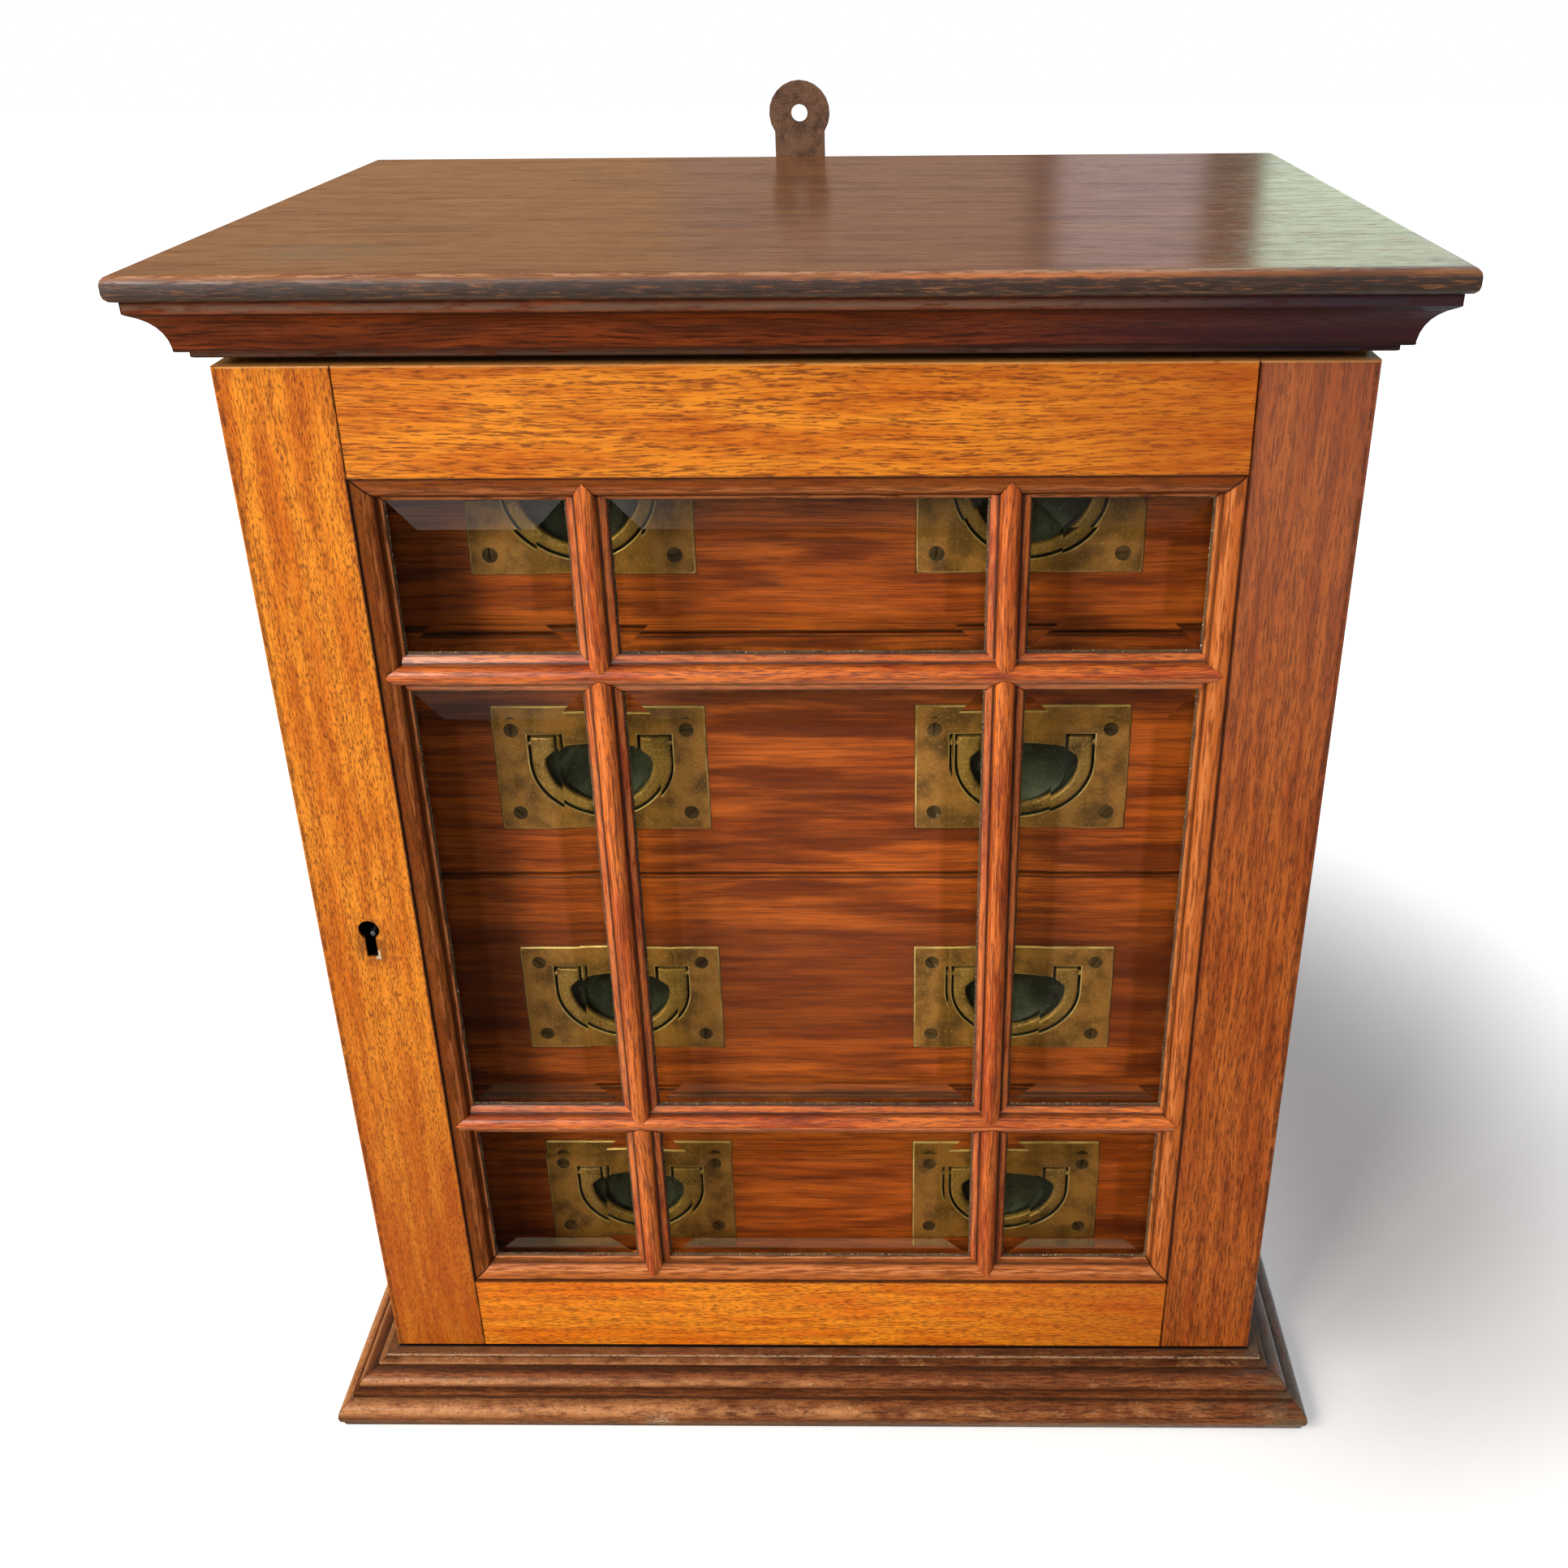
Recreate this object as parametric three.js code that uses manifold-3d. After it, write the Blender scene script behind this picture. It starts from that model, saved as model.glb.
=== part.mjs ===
import * as THREE from 'three';
import { mergeVertices } from 'three/addons/utils/BufferGeometryUtils.js';
import Module from 'manifold-3d';

// Haberdashery cabinet: a small oak case with one glazed, lockable door and four drawers
// behind it. Lengths are in millimetres. +Z is up, the door faces -Y and +X is to the
// right of someone who faces the door. While it is built, y is 0 at the door's front face
// and z is 0 at the surface that the cabinet stands on.

// Door and the gaps round it
const doorWidth = 412;
const doorHeight = 472;
const doorThickness = 18;
const doorGapBelow = 1.2;
const doorGapAbove = 4;
const doorGapBehind = 0.5;

// Case boards
const sideThickness = 12;
const backThickness = 8;
const caseBottomThickness = 18;
const caseTopThickness = 17;
const floorStep = 2;
const ceilingStep = 5.2;
const housingDepth = 4;
const backRebate = 6;

// Top board
const topDepth = 330;
const topOverhang = 22.5;
const topThickness = 9;
const topRounding = 3;

// Cornice under the top board, projections measured from the case
const corniceHeight = 21.8;
const corniceFilletOut = 4.2;
const corniceFilletUp = 2.8;
const coveBottomOut = 8.2;
const coveBottomUp = 4.2;
const coveTopOut = 17.6;
const coveTopUp = 17;
const coveBow = 4.4;
const corniceLipOut = 18.8;
const corniceLipUp = 17.8;

// Base moulding, projections measured from the case
const baseHeight = 28;
const baseProjection = 25.6;
const baseShelfOut = 5;
const baseShelfDrop = 2.4;
const baseBeadOut = 8.2;
const baseBeadDrop = 1.6;
const baseOvoloOut = 16.4;
const baseOvoloUp = 18.2;
const baseOvoloDrop = 1.2;
const baseStepOut = 18.8;
const baseStepDrop = 1.8;
const baseTorusUp = 13.2;
const baseTorusRadius = 6.6;
const baseFootIn = 2.4;

// Door frame: plain widths of its members and the moulding worked on their inner edges
const stileFlat = 42;
const railTopFlat = 41;
const railBottomFlat = 41;
const stickingWidth = 10;
const quirkDepth = 1;
const quirkWidth = 0.8;
const ovoloEnd = 6.2;
const stickingFillet = 1.6;
const stickingFilletDrop = 0.6;
const glassShoulder = 8;
const glassRebate = 6;
const tenonLength = 28;
const tenonThickness = 6;
const tenonInset = 6;

// Glazing bars: half widths are measured from a bar's middle line, and the level bars lie
// at distances from the door's top and bottom edges
const uprightBarOffset = 78.5;
const upperBarDrop = 120.4;
const lowerBarRise = 132.8;
const barHalfWidth = 7.75;
const barNoseHalf = 4;
const barNoseDepth = 0.8;
const barNoseRise = 3.6;
const barQuirk = 1;
const barBeadDrop = 0.8;
const barEdgeDepth = 6.9;
const barWebHalf = 2.5;
const barDepth = 13;

// Bevelled glass
const paneThickness = 4;
const paneEdgeThickness = 1.6;
const paneBevel = 17;
const paneSetting = 1;
const paneGap = 0.4;

// Butt hinges at the right of the door
const hingeLength = 50;
const hingeInset = 58;
const hingeLeafWidth = 10.4;
const hingeLeafThickness = 1.4;
const hingeKnuckleRadius = 2.4;
const hingePinRadius = 1.1;
const hingePinGap = 0.15;
const hingeKnuckleGap = 0.4;
const hingeLeafGap = 0.15;
const hingeSideOut = 2.7;

// Cupboard lock on the back of the left stile, its keyhole and its bolt
const keyFromEdge = 21.1;
const keyHeight = 233.2;
const keyholeRadius = 4.5;
const keyholeLength = 17.8;
const keyholeSlotWidth = 4.8;
const lockWidth = 28;
const lockHeight = 40;
const lockDepth = 8;
const lockSideGap = 1;
const lockPlateThickness = 1.5;
const keyChamberRadius = 6.5;
const keyChamberDepth = 5;
const boltLength = 20;
const boltHeight = 9;
const boltThickness = 4.4;
const boltDrop = 9.6;
const boltFromPlate = 1;
const boltThrow = 6;
const boltRestBack = 0.3;

// Drawers
const drawerCount = 4;
const drawerSetback = 50;
const drawerGap = 1;
const drawerSideGap = 0.7;
const drawerFrontThickness = 18;
const drawerWall = 8;
const drawerSideHeight = 96;
const drawerBottomThickness = 5;
const drawerBottomUp = 4;
const drawerBackGap = 1;
const tongueDepth = 4.4;
const grooveDepth = 5;

// Flush handles: a plate with a sunk pan, and a bail that lies in it
const handleOffset = 90;
const plateUp = 23.6;
const plateWidth = 91;
const plateHeight = 56;
const plateThickness = 2;
const plateProud = 0.6;
const panWall = 3;
const panDepth = 6.5;
const panFloor = 1.4;
const cupHalfWidth = 21.5;
const cupHalfHeight = 17;
const cupDepth = 11;
const cupSink = 3;
const cupDrop = 3;
const tabGap = 1.1;
const tabUp = 11;
const tabRise = 2;
const bailHalfWidth = 30;
const bailThickness = 3.6;
const bailSink = 0.2;
const bailPivotUp = 13;
const bailEarUp = 3;
const bailEarWidth = 10.5;
const bailEarLength = 6.5;
const bailShoulderUp = 4;
const bailReach = 34.6;
const bailLegWidth = 5.8;
const bailGripWidth = 5;
const bailGap = 0.9;
const bailHeadroom = 4.5;
const bailPinRadius = 1.3;
const bailPinLength = 1.8;
const bailPinGap = 0.3;

// Hanging lug
const lugThickness = 2;
const lugOffset = -11.4;
const lugUp = 20.1;
const lugHeadRadius = 15.2;
const lugHoleRadius = 4.1;
const lugNeckHalf = 12.5;
const lugTailLength = 62;

// Clearances: a cut joint, a mitre, a loose fit, and how far a cutter runs past its work
const jointGap = 0.3;
const mitreGap = 0.4;
const overrun = 2;
const weldDistance = 0.0001;

// Facets of the round stretches
const mouldingSteps = 6;
const noseSteps = 8;
const roundSteps = 12;
const ringSteps = 16;
const bailSteps = 14;
const cupSteps = 12;
const cupRings = 8;
const roundingSteps = 3;
const quarterTurn = Math.PI / 2;

// Planes and levels that the pieces share
const sideOuterX = doorWidth / 2;
const sideInnerX = sideOuterX - sideThickness;
const caseFrontY = doorThickness + doorGapBehind;
const caseRearY = topDepth - topOverhang;
const backPanelY = caseRearY - backThickness;
const doorBottomZ = baseHeight + doorGapBelow;
const doorTopZ = doorBottomZ + doorHeight;
const corniceZ = doorTopZ + doorGapAbove;
const topBoardZ = corniceZ + corniceHeight;
const topSurfaceZ = topBoardZ + topThickness;
const floorZ = baseHeight + floorStep;
const ceilingZ = corniceZ - ceilingStep;
const drawerPitch = (ceilingZ - floorZ) / drawerCount;
const keyX = -sideOuterX + keyFromEdge;
const keyZ = doorBottomZ + keyHeight;

const wasm = await Module();
wasm.setup();

const oak = new THREE.MeshStandardMaterial({ color: 0xc2691f, roughness: 0.42, metalness: 0 });
const darkOak = new THREE.MeshStandardMaterial({ color: 0x6e3f26, roughness: 0.38, metalness: 0 });
const redOak = new THREE.MeshStandardMaterial({ color: 0x8a3d20, roughness: 0.45, metalness: 0 });
const paleWood = new THREE.MeshStandardMaterial({ color: 0xb98a57, roughness: 0.7, metalness: 0 });
const oldBrass = new THREE.MeshStandardMaterial({ color: 0x7d6a3c, roughness: 0.4, metalness: 1 });
const rustyIron = new THREE.MeshStandardMaterial({ color: 0x5f4331, roughness: 0.75, metalness: 0.7 });
const glass = new THREE.MeshStandardMaterial({
  color: 0xdfe6df,
  roughness: 0.05,
  metalness: 0,
  transparent: true,
  opacity: 0.3,
});

// A closed geometry becomes a solid that can be joined and cut
function solid(geometry) {
  geometry.deleteAttribute('normal');
  geometry.deleteAttribute('uv');
  const welded = mergeVertices(geometry, weldDistance);
  return new wasm.Manifold(new wasm.Mesh({
    numProp: 3,
    vertProperties: Float32Array.from(welded.attributes.position.array),
    triVerts: Uint32Array.from(welded.index.array),
  }));
}

function geometryOf(shape) {
  const { vertProperties, triVerts } = shape.getMesh();
  const geometry = new THREE.BufferGeometry();
  geometry.setAttribute('position', new THREE.BufferAttribute(vertProperties, 3));
  geometry.setIndex(new THREE.BufferAttribute(triVerts, 1));
  geometry.computeVertexNormals();
  return geometry;
}

function extruded(outline, length) {
  const shape = new THREE.Shape(outline.map(([a, b]) => new THREE.Vector2(a, b)));
  return new THREE.ExtrudeGeometry(shape, { depth: length, bevelEnabled: false, steps: 1 });
}

const unitX = new THREE.Vector3(1, 0, 0);
const unitY = new THREE.Vector3(0, 1, 0);
const unitZ = new THREE.Vector3(0, 0, 1);
const towardsFront = unitY.clone().negate();

// An outline in (y, z), run along X
function alongX(outline, from, to) {
  const geometry = extruded(outline, to - from);
  geometry.applyMatrix4(new THREE.Matrix4().makeBasis(unitY, unitZ, unitX));
  geometry.translate(from, 0, 0);
  return solid(geometry);
}

// An outline in (x, z), run along Y
function alongY(outline, from, to) {
  const geometry = extruded(outline, to - from);
  geometry.applyMatrix4(new THREE.Matrix4().makeBasis(unitX, unitZ, towardsFront));
  geometry.translate(0, to, 0);
  return solid(geometry);
}

// An outline in (x, y), run along Z
function alongZ(outline, from, to) {
  const geometry = extruded(outline, to - from);
  geometry.translate(0, 0, from);
  return solid(geometry);
}

function block(x0, x1, y0, y1, z0, z1) {
  const geometry = new THREE.BoxGeometry(x1 - x0, y1 - y0, z1 - z0);
  geometry.translate((x0 + x1) / 2, (y0 + y1) / 2, (z0 + z1) / 2);
  return solid(geometry);
}

// Points on an elliptical arc, both ends included
function arc(middleA, middleB, radiusA, radiusB, from, to, steps) {
  const points = [];
  for (let i = 0; i <= steps; i += 1) {
    const angle = from + (to - from) * i / steps;
    points.push([middleA + radiusA * Math.cos(angle), middleB + radiusB * Math.sin(angle)]);
  }
  return points;
}

function circle(middleA, middleB, radius, steps) {
  return arc(middleA, middleB, radius, radius, 0, 4 * quarterTurn, steps).slice(1);
}

// A closed skin with flat ends through like convex rings, each counter-clockwise to
// someone who looks from the last ring back at the first
function loft(rings) {
  const count = rings[0].length;
  const index = [];
  for (let ring = 0; ring < rings.length - 1; ring += 1) {
    for (let i = 0; i < count; i += 1) {
      const next = (i + 1) % count;
      const low = ring * count;
      const high = low + count;
      index.push(low + i, low + next, high + next, low + i, high + next, high + i);
    }
  }
  const last = (rings.length - 1) * count;
  for (let i = 1; i < count - 1; i += 1) {
    index.push(0, i + 1, i, last, last + i, last + i + 1);
  }
  const geometry = new THREE.BufferGeometry();
  geometry.setAttribute('position', new THREE.Float32BufferAttribute(rings.flat(2), 3));
  geometry.setIndex(index);
  return solid(geometry);
}

function addPiece(group, name, geometry, material) {
  const piece = new THREE.Mesh(geometry, material);
  piece.name = name;
  group.add(piece);
  return piece;
}

const cabinet = new THREE.Group();
const caseGroup = new THREE.Group();
const doorGroup = new THREE.Group();
cabinet.add(caseGroup, doorGroup);

// Case: the bottom and top boards are housed in the sides, and each has a lip that runs
// forward to the door's front face, above and below the door
function lippedBoard(lowZ, highZ, lipLowZ, lipHighZ) {
  const outline = [
    [0, lipLowZ],
    [caseFrontY, lipLowZ],
    [caseFrontY, lowZ],
    [backPanelY, lowZ],
    [backPanelY, highZ],
    [caseFrontY, highZ],
    [caseFrontY, lipHighZ],
    [0, lipHighZ],
  ];
  const distinct = outline.filter(([y, z], i) => {
    const [nextY, nextZ] = outline[(i + 1) % outline.length];
    return y !== nextY || z !== nextZ;
  });
  const housedX = sideInnerX + housingDepth - jointGap;
  const board = alongX(distinct, -housedX, housedX);
  return board.add(block(-sideOuterX, sideOuterX, 0, caseFrontY, lipLowZ, lipHighZ));
}

const caseBottomLowZ = floorZ - caseBottomThickness;
const caseTopHighZ = ceilingZ + caseTopThickness;

function housing(side, lowZ, highZ) {
  const inner = side * (sideInnerX - overrun);
  const outer = side * (sideInnerX + housingDepth);
  return block(
    Math.min(inner, outer),
    Math.max(inner, outer),
    caseFrontY - overrun,
    backPanelY + overrun,
    lowZ - jointGap,
    highZ + jointGap,
  );
}

function drawerGroove(side, cellZ) {
  const inner = side * (sideInnerX - overrun);
  const outer = side * (sideInnerX + grooveDepth);
  return block(
    Math.min(inner, outer),
    Math.max(inner, outer),
    caseFrontY - overrun,
    backPanelY + overrun,
    cellZ + drawerBottomUp - jointGap,
    cellZ + drawerBottomUp + drawerBottomThickness + jointGap,
  );
}

const boltHighZ = keyZ - boltDrop + boltHeight / 2;
const boltLowZ = keyZ - boltDrop - boltHeight / 2;
const boltFrontY = doorThickness + lockPlateThickness + boltFromPlate;
const boltRearY = boltFrontY + boltThickness;
const lockOuterX = -sideInnerX + lockSideGap;
const boltRestX = lockOuterX + boltRestBack;

function boltMortise() {
  return block(
    boltRestX - boltThrow - jointGap,
    -sideInnerX + overrun,
    boltFrontY - jointGap,
    boltRearY + jointGap,
    boltLowZ - jointGap,
    boltHighZ + jointGap,
  );
}

function hingeLowZ(upper) {
  return upper ? doorTopZ - hingeInset - hingeLength : doorBottomZ + hingeInset;
}

const hingeX = sideOuterX + hingeSideOut;
const hingeY = doorThickness + doorGapBehind / 2;

// The bed for a hinge leaf, cut into the stile or into the edge of the case side
function hingeBed(upper, inDoor) {
  const lowZ = hingeLowZ(upper);
  const depth = hingeLeafGap + hingeLeafThickness + jointGap;
  const bed = [
    hingeX - hingeLeafWidth - jointGap,
    sideOuterX + overrun,
    inDoor ? hingeY - depth : hingeY - overrun,
    inDoor ? hingeY + overrun : hingeY + depth,
    lowZ - jointGap,
    lowZ + hingeLength + jointGap,
  ];
  return block(...bed);
}

function caseSide(side) {
  const outline = [
    [side * sideInnerX, caseFrontY],
    [side * sideOuterX, caseFrontY],
    [side * sideOuterX, caseRearY],
    [side * (sideInnerX + backRebate), caseRearY],
    [side * (sideInnerX + backRebate), backPanelY],
    [side * sideInnerX, backPanelY],
  ];
  let board = alongZ(outline, 0, topBoardZ);
  board = board.subtract(housing(side, caseBottomLowZ, floorZ));
  board = board.subtract(housing(side, ceilingZ, caseTopHighZ));
  for (let i = 0; i < drawerCount; i += 1) {
    board = board.subtract(drawerGroove(side, floorZ + i * drawerPitch));
  }
  return board;
}

const leftSide = caseSide(-1).subtract(boltMortise());
const rightSide = caseSide(1)
  .subtract(hingeBed(true, false))
  .subtract(hingeBed(false, false));
const caseBottom = lippedBoard(caseBottomLowZ, floorZ, caseBottomLowZ, baseHeight);
const caseTop = lippedBoard(ceilingZ, caseTopHighZ, corniceZ, caseTopHighZ);
const backHalf = sideInnerX + backRebate - jointGap;
const caseBack = block(-backHalf, backHalf, backPanelY, caseRearY, caseBottomLowZ, topBoardZ);

addPiece(caseGroup, 'case_bottom', geometryOf(caseBottom), paleWood);
addPiece(caseGroup, 'case_side_left', geometryOf(leftSide), oak);
addPiece(caseGroup, 'case_side_right', geometryOf(rightSide), oak);
addPiece(caseGroup, 'case_top', geometryOf(caseTop), paleWood);
addPiece(caseGroup, 'case_back', geometryOf(caseBack), paleWood);

// Top board with rounded edges
function topBoard() {
  const halfWidth = sideOuterX + topOverhang - topRounding;
  const outline = [
    [-halfWidth, -topOverhang + topRounding],
    [halfWidth, -topOverhang + topRounding],
    [halfWidth, caseRearY - topRounding],
    [-halfWidth, caseRearY - topRounding],
  ];
  const geometry = new THREE.ExtrudeGeometry(
    new THREE.Shape(outline.map(([x, y]) => new THREE.Vector2(x, y))),
    {
      depth: topThickness - 2 * topRounding,
      bevelEnabled: true,
      bevelSize: topRounding,
      bevelThickness: topRounding,
      bevelSegments: roundingSteps,
      steps: 1,
    },
  );
  geometry.translate(0, 0, topBoardZ + topRounding);
  return solid(geometry);
}
addPiece(caseGroup, 'top_board', geometryOf(topBoard()), darkOak);

// Mouldings: a section in (out from the case, up), in a front length and two returns that
// meet it at mitres
function mouldingFront(section, reach, lowZ, highZ) {
  const run = alongX(section.map(([out, up]) => [-out, lowZ + up]), -sideOuterX - reach, sideOuterX + reach);
  const inner = sideOuterX - mitreGap;
  const plan = [
    [-inner, overrun],
    [-inner, 0],
    [-inner - reach, -reach],
    [inner + reach, -reach],
    [inner, 0],
    [inner, overrun],
  ];
  return run.intersect(alongZ(plan, lowZ - overrun, highZ + overrun));
}

function mouldingReturn(side, section, reach, lowZ, highZ) {
  const run = alongY(section.map(([out, up]) => [side * (sideOuterX + out), lowZ + up]), -reach, caseRearY);
  const plan = [
    [side * (sideOuterX - overrun), 0],
    [side * sideOuterX, 0],
    [side * (sideOuterX + reach), -reach],
    [side * (sideOuterX + reach), caseRearY + overrun],
    [side * (sideOuterX - overrun), caseRearY + overrun],
  ];
  return run.intersect(alongZ(plan, lowZ - overrun, highZ + overrun));
}

// Points on a bowed line from one point to another, hollow by the bow at its middle
function hollow(fromOut, fromUp, toOut, toUp, bow, steps) {
  const length = Math.hypot(toOut - fromOut, toUp - fromUp);
  const control = new THREE.Vector2(
    (fromOut + toOut) / 2 - bow * (toUp - fromUp) / length,
    (fromUp + toUp) / 2 + bow * (toOut - fromOut) / length,
  );
  const curve = new THREE.QuadraticBezierCurve(
    new THREE.Vector2(fromOut, fromUp),
    control,
    new THREE.Vector2(toOut, toUp),
  );
  return curve.getPoints(steps).map((point) => [point.x, point.y]);
}

const corniceSection = [
  [0, 0],
  [corniceFilletOut, 0],
  [corniceFilletOut, corniceFilletUp],
  [coveBottomOut, corniceFilletUp],
  ...hollow(coveBottomOut, coveBottomUp, coveTopOut, coveTopUp, coveBow, mouldingSteps),
  [corniceLipOut, corniceLipUp],
  [corniceLipOut, corniceHeight],
  [0, corniceHeight],
];

const baseBeadUp = baseHeight - baseShelfDrop - baseBeadDrop;
const baseStepUp = baseOvoloUp - baseOvoloDrop;
const baseSection = [
  [0, 0],
  [baseProjection - baseFootIn, 0],
  ...arc(
    baseProjection - baseTorusRadius,
    baseTorusUp - baseTorusRadius,
    baseTorusRadius,
    baseTorusRadius,
    -quarterTurn / 2,
    quarterTurn,
    mouldingSteps,
  ),
  [baseStepOut, baseStepUp - baseStepDrop],
  [baseStepOut, baseStepUp],
  [baseOvoloOut, baseStepUp],
  ...arc(
    baseBeadOut,
    baseOvoloUp,
    baseOvoloOut - baseBeadOut,
    baseBeadUp - baseOvoloUp,
    0,
    quarterTurn,
    mouldingSteps,
  ).slice(0, -1),
  [baseBeadOut, baseBeadUp],
  [baseBeadOut, baseHeight - baseShelfDrop],
  [baseShelfOut, baseHeight - baseShelfDrop],
  [baseShelfOut, baseHeight],
  [0, baseHeight],
];

function addMoulding(name, section, reach, lowZ, highZ) {
  const front = mouldingFront(section, reach, lowZ, highZ);
  addPiece(caseGroup, `${name}_front`, geometryOf(front), darkOak);
  addPiece(caseGroup, `${name}_left`, geometryOf(mouldingReturn(-1, section, reach, lowZ, highZ)), darkOak);
  addPiece(caseGroup, `${name}_right`, geometryOf(mouldingReturn(1, section, reach, lowZ, highZ)), darkOak);
}
addMoulding('cornice', corniceSection, corniceLipOut + overrun, corniceZ, topBoardZ);
addMoulding('base', baseSection, baseProjection + overrun, 0, baseHeight);

// Hanging lug: a flat iron strap on the back, with a round head above the top board
function hangingLug() {
  const headZ = topSurfaceZ + lugUp;
  const neckAngle = Math.acos(lugNeckHalf / lugHeadRadius);
  const outline = [
    [lugOffset - lugNeckHalf, topSurfaceZ - lugTailLength],
    [lugOffset + lugNeckHalf, topSurfaceZ - lugTailLength],
    ...arc(
      lugOffset,
      headZ,
      lugHeadRadius,
      lugHeadRadius,
      -neckAngle,
      2 * quarterTurn + neckAngle,
      ringSteps,
    ),
  ];
  const plate = alongY(outline, caseRearY, caseRearY + lugThickness);
  const hole = circle(lugOffset, headZ, lugHoleRadius, ringSteps);
  return plate.subtract(alongY(hole, caseRearY - overrun, caseRearY + lugThickness + overrun));
}
addPiece(caseGroup, 'hanging_lug', geometryOf(hangingLug()), rustyIron);

// Door frame: a section in (in from the member's outer edge, back from the door's face)
function frameSection(flat) {
  const sight = flat + stickingWidth;
  const ovoloRadiusA = stickingWidth - quirkWidth - stickingFillet;
  return [
    [0, 0],
    [flat, 0],
    [flat, quirkDepth],
    ...arc(
      flat + quirkWidth,
      ovoloEnd,
      ovoloRadiusA,
      ovoloEnd - quirkDepth,
      -quarterTurn,
      0,
      mouldingSteps,
    ),
    [sight - stickingFillet, ovoloEnd + stickingFilletDrop],
    [sight, ovoloEnd + stickingFilletDrop],
    [sight, glassShoulder],
    [sight - glassRebate, glassShoulder],
    [sight - glassRebate, doorThickness],
    [0, doorThickness],
  ];
}

const stileInnerX = sideOuterX - stileFlat;
const sightX = stileInnerX - stickingWidth;
const railTopInnerZ = doorTopZ - railTopFlat;
const sightTopZ = railTopInnerZ - stickingWidth;
const railBottomInnerZ = doorBottomZ + railBottomFlat;
const sightBottomZ = railBottomInnerZ + stickingWidth;

// One corner of the opening: where the stile's moulding stops and the rail's begins
function cornerCut(side, top, fromRail) {
  const up = top ? 1 : -1;
  const cornerZ = top ? railTopInnerZ : railBottomInnerZ;
  const far = stickingWidth + overrun;
  const gap = fromRail ? up * mitreGap : 0;
  const outline = [
    [side * stileInnerX, cornerZ + gap],
    [side * (stileInnerX - far), cornerZ - up * far + gap],
  ];
  if (fromRail) {
    outline.push([side * (stileInnerX + overrun), cornerZ - up * far + gap]);
    outline.push([side * (stileInnerX + overrun), cornerZ + gap]);
  } else {
    const outerZ = (top ? doorTopZ : doorBottomZ) + up * overrun;
    outline.push([side * (stileInnerX - far), outerZ]);
    outline.push([side * stileInnerX, outerZ]);
  }
  return alongY(outline, -overrun, doorThickness + overrun);
}

function tenon(side, top, gap) {
  const tenonY = (doorThickness - tenonThickness) / 2;
  const lowZ = top ? railTopInnerZ + tenonInset : doorBottomZ + tenonInset;
  const highZ = top ? doorTopZ - tenonInset : railBottomInnerZ - tenonInset;
  const near = side * (stileInnerX - overrun);
  const far = side * (stileInnerX + tenonLength + gap);
  return block(
    Math.min(near, far),
    Math.max(near, far),
    tenonY - gap,
    tenonY + tenonThickness + gap,
    lowZ - gap,
    highZ + gap,
  );
}

// The section in its place, or shifted into the opening and back by gaps where it serves
// to cut the end of a glazing bar
function stileOutline(side, inwards, back) {
  return frameSection(stileFlat).map(([across, y]) => [side * (sideOuterX - across - inwards), y + back]);
}

function stile(side) {
  let member = alongZ(stileOutline(side, 0, 0), doorBottomZ, doorTopZ);
  for (const top of [true, false]) {
    member = member.subtract(cornerCut(side, top, false)).subtract(tenon(side, top, jointGap));
  }
  return member;
}

function railOutline(top, inwards, back) {
  const flat = top ? railTopFlat : railBottomFlat;
  return frameSection(flat).map(([across, y]) => {
    const z = top ? doorTopZ - across - inwards : doorBottomZ + across + inwards;
    return [y + back, z];
  });
}

function rail(top) {
  const reach = stileInnerX - jointGap;
  let member = alongX(railOutline(top, 0, 0), -reach, reach);
  for (const side of [-1, 1]) {
    member = member.subtract(cornerCut(side, top, true)).add(tenon(side, top, 0));
  }
  return member;
}

// A keyhole outline, round above and straight below, widened by a gap
function keyhole() {
  const halfSlot = keyholeSlotWidth / 2;
  const slotAngle = Math.asin(halfSlot / keyholeRadius);
  const roundZ = keyZ + keyholeLength / 2 - keyholeRadius;
  return [
    [keyX - halfSlot, keyZ - keyholeLength / 2],
    [keyX + halfSlot, keyZ - keyholeLength / 2],
    ...arc(
      keyX,
      roundZ,
      keyholeRadius,
      keyholeRadius,
      -quarterTurn + slotAngle,
      3 * quarterTurn - slotAngle,
      ringSteps,
    ),
  ];
}

const lockStile = stile(-1).subtract(alongY(keyhole(), -overrun, doorThickness + overrun));
const hingeStile = stile(1)
  .subtract(hingeBed(true, true))
  .subtract(hingeBed(false, true));
addPiece(doorGroup, 'door_stile_lock', geometryOf(lockStile), oak);
addPiece(doorGroup, 'door_stile_hinge', geometryOf(hingeStile), oak);
addPiece(doorGroup, 'door_rail_top', geometryOf(rail(true)), oak);
addPiece(doorGroup, 'door_rail_bottom', geometryOf(rail(false)), oak);

// Glazing bars: a section in (across from the middle line, back), widened all round by a
// gap where it serves to cut its neighbour
function barOutline(gap) {
  const right = [
    ...arc(
      0,
      barNoseDepth + barNoseRise,
      barNoseHalf + gap,
      barNoseRise + gap,
      -quarterTurn,
      0,
      noseSteps / 2,
    ).slice(1),
    [barNoseHalf + gap, barNoseDepth + barNoseRise + barBeadDrop - gap],
    [barNoseHalf + barQuirk + gap, barNoseDepth + barNoseRise + barBeadDrop - gap],
    [barHalfWidth + gap, barEdgeDepth - gap],
    [barHalfWidth + gap, glassShoulder + gap],
  ];
  const left = right.map(([across, y]) => [-across, y]).reverse();
  return { nose: [0, barNoseDepth - gap], left, right };
}

function barSection() {
  const { nose, left, right } = barOutline(0);
  const web = [
    [barWebHalf, glassShoulder],
    [barWebHalf, barDepth],
    [-barWebHalf, barDepth],
    [-barWebHalf, glassShoulder],
  ];
  return [nose, ...right, ...web, ...left];
}

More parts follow.
